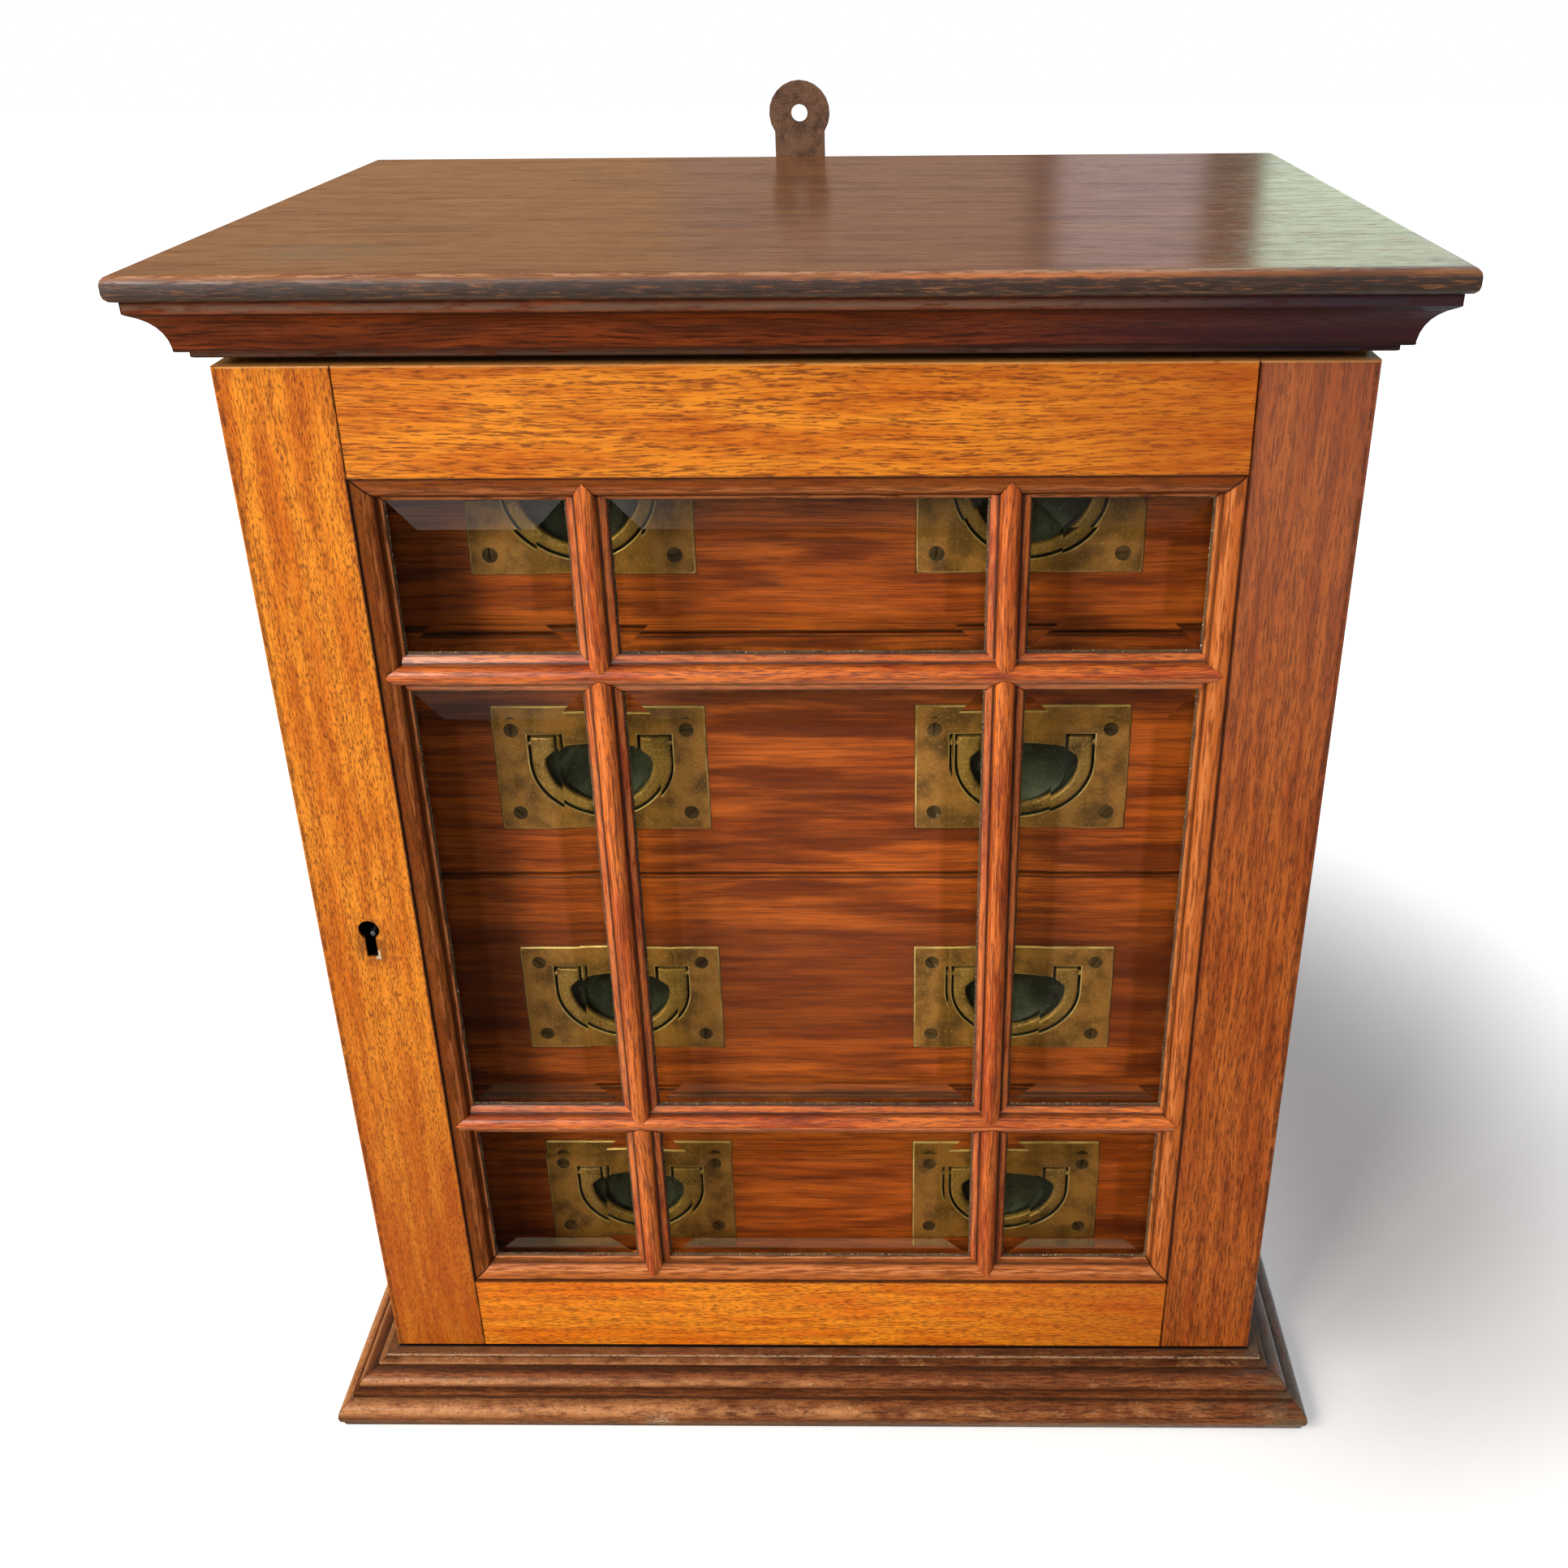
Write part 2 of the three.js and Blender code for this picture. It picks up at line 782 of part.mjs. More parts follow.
function barCap(gap) {
  const { nose, left, right } = barOutline(gap);
  return [nose, ...right, ...left];
}

const upperBarZ = doorTopZ - upperBarDrop;
const lowerBarZ = doorBottomZ + lowerBarRise;
const levelBarHeights = [upperBarZ, lowerBarZ];
const uprightPlaces = [-uprightBarOffset, uprightBarOffset];

// Uprights run through, and the level bars' mouldings pass in front of their webs
function uprightBar(x) {
  const outline = barSection().map(([across, y]) => [x + across, y]);
  let bar = alongZ(outline, sightBottomZ - stickingWidth, sightTopZ + stickingWidth);
  for (const top of [true, false]) {
    for (const back of [-jointGap, jointGap]) {
      bar = bar.subtract(alongX(railOutline(top, jointGap, back), -sightX, sightX));
    }
  }
  for (const z of levelBarHeights) {
    bar = bar.subtract(alongX(barCap(jointGap).map(([across, y]) => [y, z + across]), -sightX, sightX));
  }
  return bar;
}

function levelBar(z) {
  const outline = barSection().map(([across, y]) => [y, z + across]);
  let bar = alongX(outline, -stileInnerX, stileInnerX);
  for (const side of [-1, 1]) {
    for (const back of [-jointGap, jointGap]) {
      bar = bar.subtract(alongZ(stileOutline(side, jointGap, back), sightBottomZ, sightTopZ));
    }
  }
  for (const x of uprightPlaces) {
    const notchHalf = barWebHalf + jointGap;
    bar = bar.subtract(block(
      x - notchHalf,
      x + notchHalf,
      glassShoulder,
      barDepth + overrun,
      z - barHalfWidth - overrun,
      z + barHalfWidth + overrun,
    ));
  }
  return bar;
}
addPiece(doorGroup, 'glazing_bar_upright_left', geometryOf(uprightBar(-uprightBarOffset)), redOak);
addPiece(doorGroup, 'glazing_bar_upright_right', geometryOf(uprightBar(uprightBarOffset)), redOak);
addPiece(doorGroup, 'glazing_bar_level_upper', geometryOf(levelBar(upperBarZ)), redOak);
addPiece(doorGroup, 'glazing_bar_level_lower', geometryOf(levelBar(lowerBarZ)), redOak);

// Glass: each pane is bevelled on its front, and lies behind the shoulders of the bars
const paneEdgeFrontY = glassShoulder + paneSetting;
const paneRearY = paneEdgeFrontY + paneEdgeThickness;
const paneFrontY = paneRearY - paneThickness;

function pane(leftX, rightX, lowZ, highZ) {
  const ring = (inset, y) => [
    [leftX + inset, y, lowZ + inset],
    [rightX - inset, y, lowZ + inset],
    [rightX - inset, y, highZ - inset],
    [leftX + inset, y, highZ - inset],
  ];
  return loft([ring(0, paneRearY), ring(0, paneEdgeFrontY), ring(paneBevel, paneFrontY)]);
}

const paneFrameOverlap = glassRebate - paneGap;
const paneBarGap = barWebHalf + paneGap;
const paneColumns = {
  left: [-sightX - paneFrameOverlap, -uprightBarOffset - paneBarGap],
  middle: [-uprightBarOffset + paneBarGap, uprightBarOffset - paneBarGap],
  right: [uprightBarOffset + paneBarGap, sightX + paneFrameOverlap],
};
const paneRows = {
  upper: [upperBarZ + paneBarGap, sightTopZ + paneFrameOverlap],
  middle: [lowerBarZ + paneBarGap, upperBarZ - paneBarGap],
  lower: [sightBottomZ - paneFrameOverlap, lowerBarZ - paneBarGap],
};
for (const [row, [lowZ, highZ]] of Object.entries(paneRows)) {
  for (const [column, [leftX, rightX]] of Object.entries(paneColumns)) {
    addPiece(doorGroup, `glass_${row}_${column}`, geometryOf(pane(leftX, rightX, lowZ, highZ)), glass);
  }
}

// Butt hinges: the case leaf carries the pin and the outer and middle knuckles, the door
// leaf the two between them
const knuckleCount = 5;
const knuckleLength = hingeLength / knuckleCount;

function hingeLeaf(upper, onDoor) {
  const lowZ = hingeLowZ(upper);
  const nearY = onDoor ? hingeY - hingeLeafGap - hingeLeafThickness : hingeY + hingeLeafGap;
  const farY = nearY + hingeLeafThickness;
  const plateEndX = sideOuterX - jointGap;
  let leaf = block(hingeX - hingeLeafWidth, plateEndX, nearY, farY, lowZ, lowZ + hingeLength);
  for (let i = 0; i < knuckleCount; i += 1) {
    const own = onDoor ? i % 2 === 1 : i % 2 === 0;
    if (own) {
      const knuckleLowZ = lowZ + i * knuckleLength + hingeKnuckleGap / 2;
      const knuckleHighZ = lowZ + (i + 1) * knuckleLength - hingeKnuckleGap / 2;
      const arm = block(plateEndX - hingeLeafThickness, hingeX, nearY, farY, knuckleLowZ, knuckleHighZ);
      const barrel = circle(hingeX, hingeY, hingeKnuckleRadius, ringSteps);
      leaf = leaf.add(arm).add(alongZ(barrel, knuckleLowZ, knuckleHighZ));
    }
  }
  const pinRadius = onDoor ? hingePinRadius + hingePinGap : hingePinRadius;
  const reach = onDoor ? overrun : -hingeKnuckleGap;
  const pin = alongZ(circle(hingeX, hingeY, pinRadius, roundSteps), lowZ - reach, lowZ + hingeLength + reach);
  return onDoor ? leaf.subtract(pin) : leaf.add(pin);
}
for (const [name, upper] of [['upper', true], ['lower', false]]) {
  addPiece(caseGroup, `hinge_${name}_case_leaf`, geometryOf(hingeLeaf(upper, false)), oldBrass);
  addPiece(doorGroup, `hinge_${name}_door_leaf`, geometryOf(hingeLeaf(upper, true)), oldBrass);
}

// Lock: a case with a channel for the bolt and a chamber where the key turns
function lockCase() {
  const lowZ = keyZ - lockHeight / 2;
  const body = block(
    lockOuterX,
    lockOuterX + lockWidth,
    doorThickness,
    doorThickness + lockDepth,
    lowZ,
    lowZ + lockHeight,
  );
  const channel = block(
    lockOuterX - overrun,
    boltRestX + boltLength + jointGap,
    boltFrontY - jointGap,
    boltRearY + jointGap,
    boltLowZ - jointGap,
    boltHighZ + jointGap,
  );
  const chamberFrontY = doorThickness + lockPlateThickness;
  const chamber = alongY(
    circle(keyX, keyZ, keyChamberRadius, ringSteps),
    chamberFrontY,
    chamberFrontY + keyChamberDepth,
  );
  const keyway = alongY(keyhole(), doorThickness - overrun, chamberFrontY + keyChamberDepth);
  return body.subtract(channel).subtract(chamber).subtract(keyway);
}
addPiece(doorGroup, 'lock_case', geometryOf(lockCase()), oldBrass);

const bolt = block(boltRestX, boltRestX + boltLength, boltFrontY, boltRearY, boltLowZ, boltHighZ);
addPiece(doorGroup, 'lock_bolt', geometryOf(bolt), oldBrass);

// Flush handle, built round the middle of its plate: y is 0 at the drawer's front face
const plateFrontY = -plateProud;
const pivotY = plateFrontY + bailSink + bailThickness / 2;
const bailBottomUp = bailPivotUp - bailReach;

// The bail's outer line widened by a gap, closed across the top at the height given
function bailEnvelope(gap, topUp) {
  return [
    [bailHalfWidth + gap, topUp],
    [-bailHalfWidth - gap, topUp],
    ...arc(
      0,
      bailShoulderUp,
      bailHalfWidth + gap,
      bailShoulderUp - bailBottomUp + gap,
      2 * quarterTurn,
      4 * quarterTurn,
      bailSteps,
    ),
  ];
}

function bailSolid() {
  const earTop = bailPivotUp + bailEarUp;
  const earInner = bailHalfWidth - bailEarWidth;
  const legInner = bailHalfWidth - bailLegWidth;
  const gripInner = bailShoulderUp - bailBottomUp - bailGripWidth;
  const inner = [
    [earInner, earTop + overrun],
    [-earInner, earTop + overrun],
    [-earInner, bailPivotUp - bailEarLength / 2],
    ...arc(0, bailShoulderUp, legInner, gripInner, 2 * quarterTurn, 4 * quarterTurn, bailSteps),
    [earInner, bailPivotUp - bailEarLength / 2],
  ];
  const rearY = plateFrontY + bailSink + bailThickness;
  const loop = alongY(bailEnvelope(0, earTop), plateFrontY + bailSink, rearY)
    .subtract(alongY(inner, plateFrontY - overrun, rearY + overrun));
  const pin = circle(pivotY, bailPivotUp, bailPinRadius, roundSteps);
  const pinInnerX = bailHalfWidth - bailEarWidth / 2;
  const pinOuterX = bailHalfWidth + bailPinLength;
  return loop.add(alongX(pin, pinInnerX, pinOuterX)).add(alongX(pin, -pinOuterX, -pinInnerX));
}

// The space that the bail lies in, without the tab that bridges it between the ears
function bailRecess(rearY) {
  const tabHalf = bailHalfWidth - bailEarWidth - tabGap;
  const topUp = bailPivotUp + bailHeadroom;
  const tab = [
    [-tabHalf, topUp + overrun],
    [-tabHalf, tabUp],
    ...arc(0, tabUp, tabHalf, tabRise, 2 * quarterTurn, 0, roundSteps).slice(1, -1),
    [tabHalf, tabUp],
    [tabHalf, topUp + overrun],
  ];
  return alongY(bailEnvelope(bailGap, topUp), plateFrontY - overrun, rearY)
    .subtract(alongY(tab, plateFrontY - 2 * overrun, rearY + overrun));
}

function platePan(gap) {
  const wall = bailGap + panWall + gap;
  return bailEnvelope(wall, bailPivotUp + bailHeadroom + panWall + gap);
}

const panRearY = plateFrontY + cupDepth + panFloor;

function handlePlate() {
  const flange = block(
    -plateWidth / 2,
    plateWidth / 2,
    plateFrontY,
    plateFrontY + plateThickness,
    -plateHeight / 2,
    plateHeight / 2,
  );
  const pan = alongY(platePan(0), plateFrontY + plateThickness / 2, panRearY);
  const cupGeometry = new THREE.SphereGeometry(1, cupSteps, cupRings);
  cupGeometry.scale(cupHalfWidth, cupDepth - cupSink, cupHalfHeight);
  cupGeometry.translate(0, plateFrontY + cupSink, -cupDrop);
  const cup = solid(cupGeometry);
  const pinHole = circle(pivotY, bailPivotUp, bailPinRadius + bailPinGap, roundSteps);
  const holeEnd = bailHalfWidth + bailPinLength + bailPinGap;
  const holes = alongX(pinHole, bailHalfWidth, holeEnd).add(alongX(pinHole, -holeEnd, -bailHalfWidth));
  return flange.add(pan).subtract(bailRecess(plateFrontY + panDepth)).subtract(cup).subtract(holes);
}

function plateBed() {
  const bed = block(
    -plateWidth / 2 - jointGap,
    plateWidth / 2 + jointGap,
    -overrun,
    plateFrontY + plateThickness + jointGap,
    -plateHeight / 2 - jointGap,
    plateHeight / 2 + jointGap,
  );
  return bed.add(alongY(platePan(jointGap), -overrun, panRearY + jointGap));
}

// Drawer, built in its cell: y is 0 at its front face, z is 0 at the bottom of the cell
const handleZ = plateUp + plateHeight / 2;
const drawerOuterX = sideInnerX - drawerSideGap;
const drawerRearY = backPanelY - drawerBackGap - drawerSetback;

function drawerFront() {
  const lowZ = drawerGap / 2;
  const highZ = drawerPitch - drawerGap / 2;
  let front = block(-drawerOuterX, drawerOuterX, 0, drawerFrontThickness, lowZ, highZ);
  const bed = plateBed();
  for (const x of [-handleOffset, handleOffset]) {
    front = front.subtract(bed.translate([x, 0, handleZ]));
  }
  return front;
}

// Sides and back stand on a bottom board whose long edges run on as tongues
function drawerBox() {
  const lowZ = drawerBottomUp;
  const highZ = drawerBottomUp + drawerSideHeight;
  const shell = block(-drawerOuterX, drawerOuterX, drawerFrontThickness, drawerRearY, lowZ, highZ);
  const inside = block(
    -drawerOuterX + drawerWall,
    drawerOuterX - drawerWall,
    drawerFrontThickness - overrun,
    drawerRearY - drawerWall,
    lowZ + drawerBottomThickness,
    highZ + overrun,
  );
  const tongueX = drawerOuterX + tongueDepth;
  const tongueHighZ = lowZ + drawerBottomThickness;
  const tongues = block(-tongueX, tongueX, drawerFrontThickness, drawerRearY, lowZ, tongueHighZ);
  return shell.subtract(inside).add(tongues);
}

const drawerFrontGeometry = geometryOf(drawerFront());
const drawerBoxGeometry = geometryOf(drawerBox());
const plateGeometry = geometryOf(handlePlate());
const bailGeometry = geometryOf(bailSolid());

for (let number = 1; number <= drawerCount; number += 1) {
  const drawer = new THREE.Group();
  drawer.position.set(0, drawerSetback, floorZ + (drawerCount - number) * drawerPitch);
  addPiece(drawer, `drawer_${number}_front`, drawerFrontGeometry, redOak);
  addPiece(drawer, `drawer_${number}_box`, drawerBoxGeometry, paleWood);
  for (const [side, x] of [['left', -handleOffset], ['right', handleOffset]]) {
    const handle = new THREE.Group();
    handle.position.set(x, 0, handleZ);
    addPiece(handle, `drawer_${number}_plate_${side}`, plateGeometry, oldBrass);
    addPiece(handle, `drawer_${number}_bail_${side}`, bailGeometry, oldBrass);
    drawer.add(handle);
  }
  cabinet.add(drawer);
}

// The origin is under the middle of the whole cabinet, on the surface that it stands on
const frontmostY = -Math.max(baseProjection, topOverhang);
const rearmostY = caseRearY + lugThickness;
cabinet.position.y = -(frontmostY + rearmostY) / 2;

export default cabinet;
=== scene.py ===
# Haberdashery cabinet: a small oak case with a glazed, lockable door and four drawers
# behind it, finished as in its photograph. Sizes are in millimetres, but those of the floor,
# the lamps and the camera's clipping are in metres.
import math

import bmesh
import bpy
from mathutils import Matrix, Vector, noise


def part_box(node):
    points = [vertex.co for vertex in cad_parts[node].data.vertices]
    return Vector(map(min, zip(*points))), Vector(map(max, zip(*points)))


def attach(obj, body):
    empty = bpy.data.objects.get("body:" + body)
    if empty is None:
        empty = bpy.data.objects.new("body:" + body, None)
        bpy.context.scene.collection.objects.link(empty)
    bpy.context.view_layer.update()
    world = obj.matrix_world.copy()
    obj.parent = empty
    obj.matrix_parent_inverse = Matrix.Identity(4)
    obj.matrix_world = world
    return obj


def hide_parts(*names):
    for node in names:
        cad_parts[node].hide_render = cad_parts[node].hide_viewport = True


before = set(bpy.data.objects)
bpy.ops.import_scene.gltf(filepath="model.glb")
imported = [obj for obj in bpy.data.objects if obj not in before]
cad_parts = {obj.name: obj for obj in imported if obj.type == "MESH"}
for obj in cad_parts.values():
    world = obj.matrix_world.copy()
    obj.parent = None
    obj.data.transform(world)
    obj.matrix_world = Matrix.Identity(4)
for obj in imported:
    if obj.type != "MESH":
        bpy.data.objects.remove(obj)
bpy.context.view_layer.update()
MM = 0.001

# The studio
# The camera stands where the photographer stood, looking down at the door. Its lens and
# place were fitted to the straight edges of the cabinet, whose door is 412 by 472 mm.
CAMERA_PLACE = Vector((34.65, -719.93, 631.96)) * MM
CAMERA_YAW = 0.0172688
CAMERA_PITCH = 0.483007
CAMERA_ROLL = -0.00966585
FOCAL_PIXELS = 2012.81
IMAGE_PIXELS = 1932
PRINCIPAL_POINT = (1068.51, 983.76)
SENSOR_WIDTH = 36


def in_scene(name, data):
    """A new object of the scene that holds the given data."""
    made = bpy.data.objects.new(name, data)
    bpy.context.scene.collection.objects.link(made)
    return made


level_turn = Matrix.Rotation(CAMERA_YAW, 4, "Z") @ Matrix.Rotation(math.pi / 2 - CAMERA_PITCH, 4, "X")
camera = in_scene("camera", bpy.data.cameras.new("camera"))
camera.matrix_world = Matrix.Translation(CAMERA_PLACE) @ level_turn @ Matrix.Rotation(CAMERA_ROLL, 4, "Z")
camera.data.sensor_width = SENSOR_WIDTH
camera.data.lens = SENSOR_WIDTH * FOCAL_PIXELS / IMAGE_PIXELS
camera.data.shift_x = (IMAGE_PIXELS / 2 - PRINCIPAL_POINT[0]) / IMAGE_PIXELS
camera.data.shift_y = (PRINCIPAL_POINT[1] - IMAGE_PIXELS / 2) / IMAGE_PIXELS
camera.data.clip_start = 0.01
camera.data.clip_end = 100
bpy.context.scene.camera = camera
bpy.context.scene.view_settings.view_transform = "Standard"


def tone(red, green, blue):
    """A tone in the 0 to 255 steps of a screen, as the linear values of a shader."""
    def one(step):
        share = step / 255
        return share / 12.92 if share <= 0.04045 else ((share + 0.055) / 1.055) ** 2.4
    return (one(red), one(green), one(blue), 1)


def sums(operation, turned=False):
    """A way to sum a wire with a wire or a number, as a Math node."""
    def node(wire, other):
        values = (other, wire) if turned else (wire, other)
        return wire.maths(operation, *values)
    return node


class Wire:
    """A socket in a finish. Sums on it add Math nodes."""

    __add__ = sums("ADD")
    __radd__ = sums("ADD", turned=True)
    __sub__ = sums("SUBTRACT")
    __rsub__ = sums("SUBTRACT", turned=True)
    __mul__ = sums("MULTIPLY")
    __rmul__ = sums("MULTIPLY", turned=True)
    __truediv__ = sums("DIVIDE")
    most = sums("MAXIMUM")
    least = sums("MINIMUM")

    def __init__(self, finish, socket):
        self.finish = finish
        self.socket = socket

    def output(self, name):
        return Wire(self.finish, self.socket.node.outputs[name])

    def maths(self, operation, *values):
        return self.finish.node("Math", {"operation": operation}, dict(enumerate(values)))

    def __abs__(self):
        return self.maths("ABSOLUTE", self)

    def sine(self):
        return self.maths("SINE", self)

    def rise(self, low, high):
        """0 below low and 1 above high, with a soft step between them. low may exceed high."""
        settings = {"interpolation_type": "SMOOTHSTEP"}
        return self.finish.node("MapRange", settings, {0: self, 1: low, 2: high, 3: 0, 4: 1})

    def near(self, place, width):
        """1 at a place, and 0 further than width from it."""
        return abs(self - place).rise(width, 0)


class Finish:
    """The nodes of a material, or of the room around the object, while they are written."""

    def __init__(self, name, room=None):
        self.material = room or bpy.data.materials.new(name)
        self.material.use_nodes = True
        self.tree = self.material.node_tree
        self.tree.nodes.clear()

    def node(self, kind, settings=None, inputs=None, output=0):
        made = self.tree.nodes.new("ShaderNode" + kind)
        for name, value in (settings or {}).items():
            setattr(made, name, value)
        for name, value in (inputs or {}).items():
            if isinstance(value, Wire):
                self.tree.links.new(value.socket, made.inputs[name])
            else:
                made.inputs[name].default_value = value
        return Wire(self, made.outputs[output])

    def parts(self, vector):
        split = self.node("SeparateXYZ", inputs={0: vector})
        return [split.output(axis) for axis in "XYZ"]

    def millimetres(self):
        """The three coordinates of a point of the piece, in millimetres."""
        place = self.node("TexCoord", output="Object")
        return self.parts(self.node("VectorMath", {"operation": "SCALE"}, {0: place, "Scale": 1 / MM}))

    def vector(self, x, y, z):
        return self.node("CombineXYZ", inputs={0: x, 1: y, 2: z})

    def noise(self, x, y, z, detail=2, rough=0.5):
        inputs = {"Vector": self.vector(x, y, z), "Scale": 1, "Detail": detail, "Roughness": rough}
        return self.node("TexNoise", inputs=inputs)

    def mix(self, share, first, second):
        settings = {"data_type": "RGBA", "clamp_factor": True}
        return self.node("Mix", settings, {0: share, 6: first, 7: second}, output=2)

    def coats(self, body, *layers):
        """Tones laid over a body one after the other, each by its share."""
        for share, coat in layers:
            body = self.mix(share, body, coat)
        return body

    def bump(self, height, depth):
        return self.node("Bump", inputs={"Height": height, "Distance": depth * MM, "Strength": 1})

    def surface(self, **inputs):
        """Ends the material in one Principled shader."""
        named = {name.replace("_", " "): value for name, value in inputs.items()}
        return self.show(self.node("BsdfPrincipled", inputs=named))

    def show(self, shader, ending="OutputMaterial"):
        out = self.tree.nodes.new("ShaderNode" + ending)
        self.tree.links.new(shader.socket, out.inputs["Surface"])
        return self.material


# The floor is a wide pale sheet under large soft lamps: a key from the left and a weak
# fill from the right. It also glows where it is looked at, which is painted light.
# What polished wood and glass mirror is a dim room with a bright window beyond the
# cabinet's right-hand back corner, as the top board shows.
FLOOR_WIDTH = 14
FLOOR_GREY = tone(222, 222, 222)
FLOOR_MIRRORED = tone(48, 38, 30)
GLOW_LEFT = (0.45, 0.45, 0.45, 1)
GLOW_RIGHT = (0.13, 0.13, 0.13, 1)
GLOW_FAR = (1, 1, 1, 1)
BLACK = (0, 0, 0, 1)
WHITE = (1, 1, 1, 1)
AIM = Vector((0, 0, 0.3))
LAMPS = {
    "key": ((-1.9, -1.25, 1.8), 1.2, 46, (1, 0.96, 0.9)),
    "window": ((-1, -1.7, 1.3), 0.5, 23, (1, 0.96, 0.9)),
    "fill": ((1.6, -1.9, 1.1), 1.6, 4, (0.95, 0.97, 1)),
    "overhead": ((0.1, 0.3, 2.8), 2.6, 12, (1, 1, 1)),
}
SKY = tone(232, 236, 244)
SKY_STRENGTH = 0.2
ROOM_LOW = tone(54, 42, 34)
ROOM_HIGH = (0.5, 0.44, 0.4, 1)
ROOM_BRIGHT = (2.6, 2.4, 2.3, 1)
ROOM_ABOVE = tone(150, 132, 114)
TABLE = (1.5, 1.25, 0.8, 1)
ROOM_LEFT = (1.6, 1, 0.6, 1)
BEHIND_LEFT = tone(190, 150, 113)
BEHIND_MIDDLE = tone(171, 143, 127)
BEHIND_MAUVE = tone(196, 178, 178)
BEHIND_DARK = tone(92, 74, 70)
WINDOW_GREEN = (1.06, 1.34, 1.06, 1)
WINDOW_BLUE = (0.8, 1, 1.15, 1)


def looked_at(finish):
    """1 where a thing is seen straight or through glass, and 0 where it lights or is mirrored."""
    path = finish.node("LightPath")
    bounced = path.output("Glossy Depth").most(path.output("Diffuse Depth")).least(1)
    return path.output("Is Camera Ray").most(path.output("Is Transmission Ray") * (1 - bounced))


mesh = bpy.data.meshes.new("floor")
bm = bmesh.new()
bmesh.ops.create_grid(bm, x_segments=1, y_segments=1, size=FLOOR_WIDTH / 2)
bm.to_mesh(mesh)
bm.free()
floor = in_scene("floor", mesh)
paper = Finish("floor_paper")
place = paper.node("TexCoord", output="Object")
away = paper.node("VectorMath", {"operation": "LENGTH"}, {0: place}, output="Value")
aside, back, _ = paper.parts(place)
# The painted glow is weak to the right of the cabinet, from its front backwards, where its cast shadow
# falls, and full further away.
glow = paper.mix(aside.rise(0.15, 0.3) * back.rise(-0.24, -0.1), GLOW_LEFT, GLOW_RIGHT)
glow = paper.mix(away.rise(0.32, 0.66), glow, GLOW_FAR)
glow = paper.mix(looked_at(paper), BLACK, glow)
mirrors = paper.node("LightPath", output="Glossy Depth").least(1)
tint = paper.mix(mirrors, FLOOR_GREY, FLOOR_MIRRORED)
sheet = paper.surface(Base_Color=tint, Roughness=0.9, Emission_Color=glow, Emission_Strength=1)
mesh.materials.append(sheet)
floor.visible_glossy = False

for name, (place, size, watts, colour) in LAMPS.items():
    light = bpy.data.lights.new(name, "AREA")
    light.size = size
    light.energy = watts
    light.color = colour
    lamp = in_scene(name, light)
    lamp.location = place
    lamp.rotation_mode = "QUATERNION"
    lamp.rotation_quaternion = (AIM - lamp.location).to_track_quat("-Z", "Y")

world = bpy.data.worlds.new("room")
bpy.context.scene.world = world
room = Finish("room", world)
outward = room.node("TexCoord", output="Generated")
east, north, high = room.parts(outward)
bearing = east.maths("ARCTAN2", east, north) * math.degrees(1)
height = high.maths("ARCSINE", high) * math.degrees(1)
behind = room.coats(
    BEHIND_LEFT,
    (bearing.rise(-7.8, -6.6), BEHIND_MIDDLE),
    (bearing.rise(4.4, 6), BEHIND_MAUVE),
    (bearing.near(5, 0.9), BEHIND_DARK),
    (bearing.rise(9.9, 10.5), BEHIND_DARK),
    (bearing.rise(11.9, 12.3), WINDOW_GREEN),
    (bearing.rise(17, 24), WINDOW_BLUE),
)
before = room.mix(east.rise(-0.1, -0.17) * height.rise(16, 10), ROOM_HIGH, ROOM_BRIGHT)
before = room.mix(height.rise(-14, 2), ROOM_LOW, before)
before = room.mix(height.rise(30, 50), before, ROOM_ABOVE)
before = room.mix(height.rise(-48, -60), before, TABLE)
leftward = bearing.rise(-142, -136) * bearing.rise(-100, -112) * height.rise(-48, -40)
before = room.mix(leftward * height.rise(-8, -14), before, ROOM_LEFT)
mirrored = room.mix(north.rise(-0.1, 0.1), before, behind)
path = room.node("LightPath")
sharp = path.output("Is Glossy Ray") * (1 - path.output("Diffuse Depth").least(1))
straight = looked_at(room)
seen = room.mix(sharp, SKY, mirrored)
seen = room.mix(straight, seen, WHITE)
glow = sharp.most(straight) * (1 - SKY_STRENGTH) + SKY_STRENGTH
room.show(room.node("Background", inputs={"Color": seen, "Strength": glow}), "OutputWorld")

# Case sides
# Two oak boards, grooved inside for the drawers and rebated for the back. Their outer
# faces are finished like the door, with open brown pores and a worn wax polish.
GRAINS = {"x": (0, 2, 1), "y": (1, 2, 0), "z": (2, 0, 1)}
GOLDEN = (tone(146, 60, 6), tone(208, 108, 14), tone(238, 144, 34))
PORE_BROWN = tone(96, 38, 8)


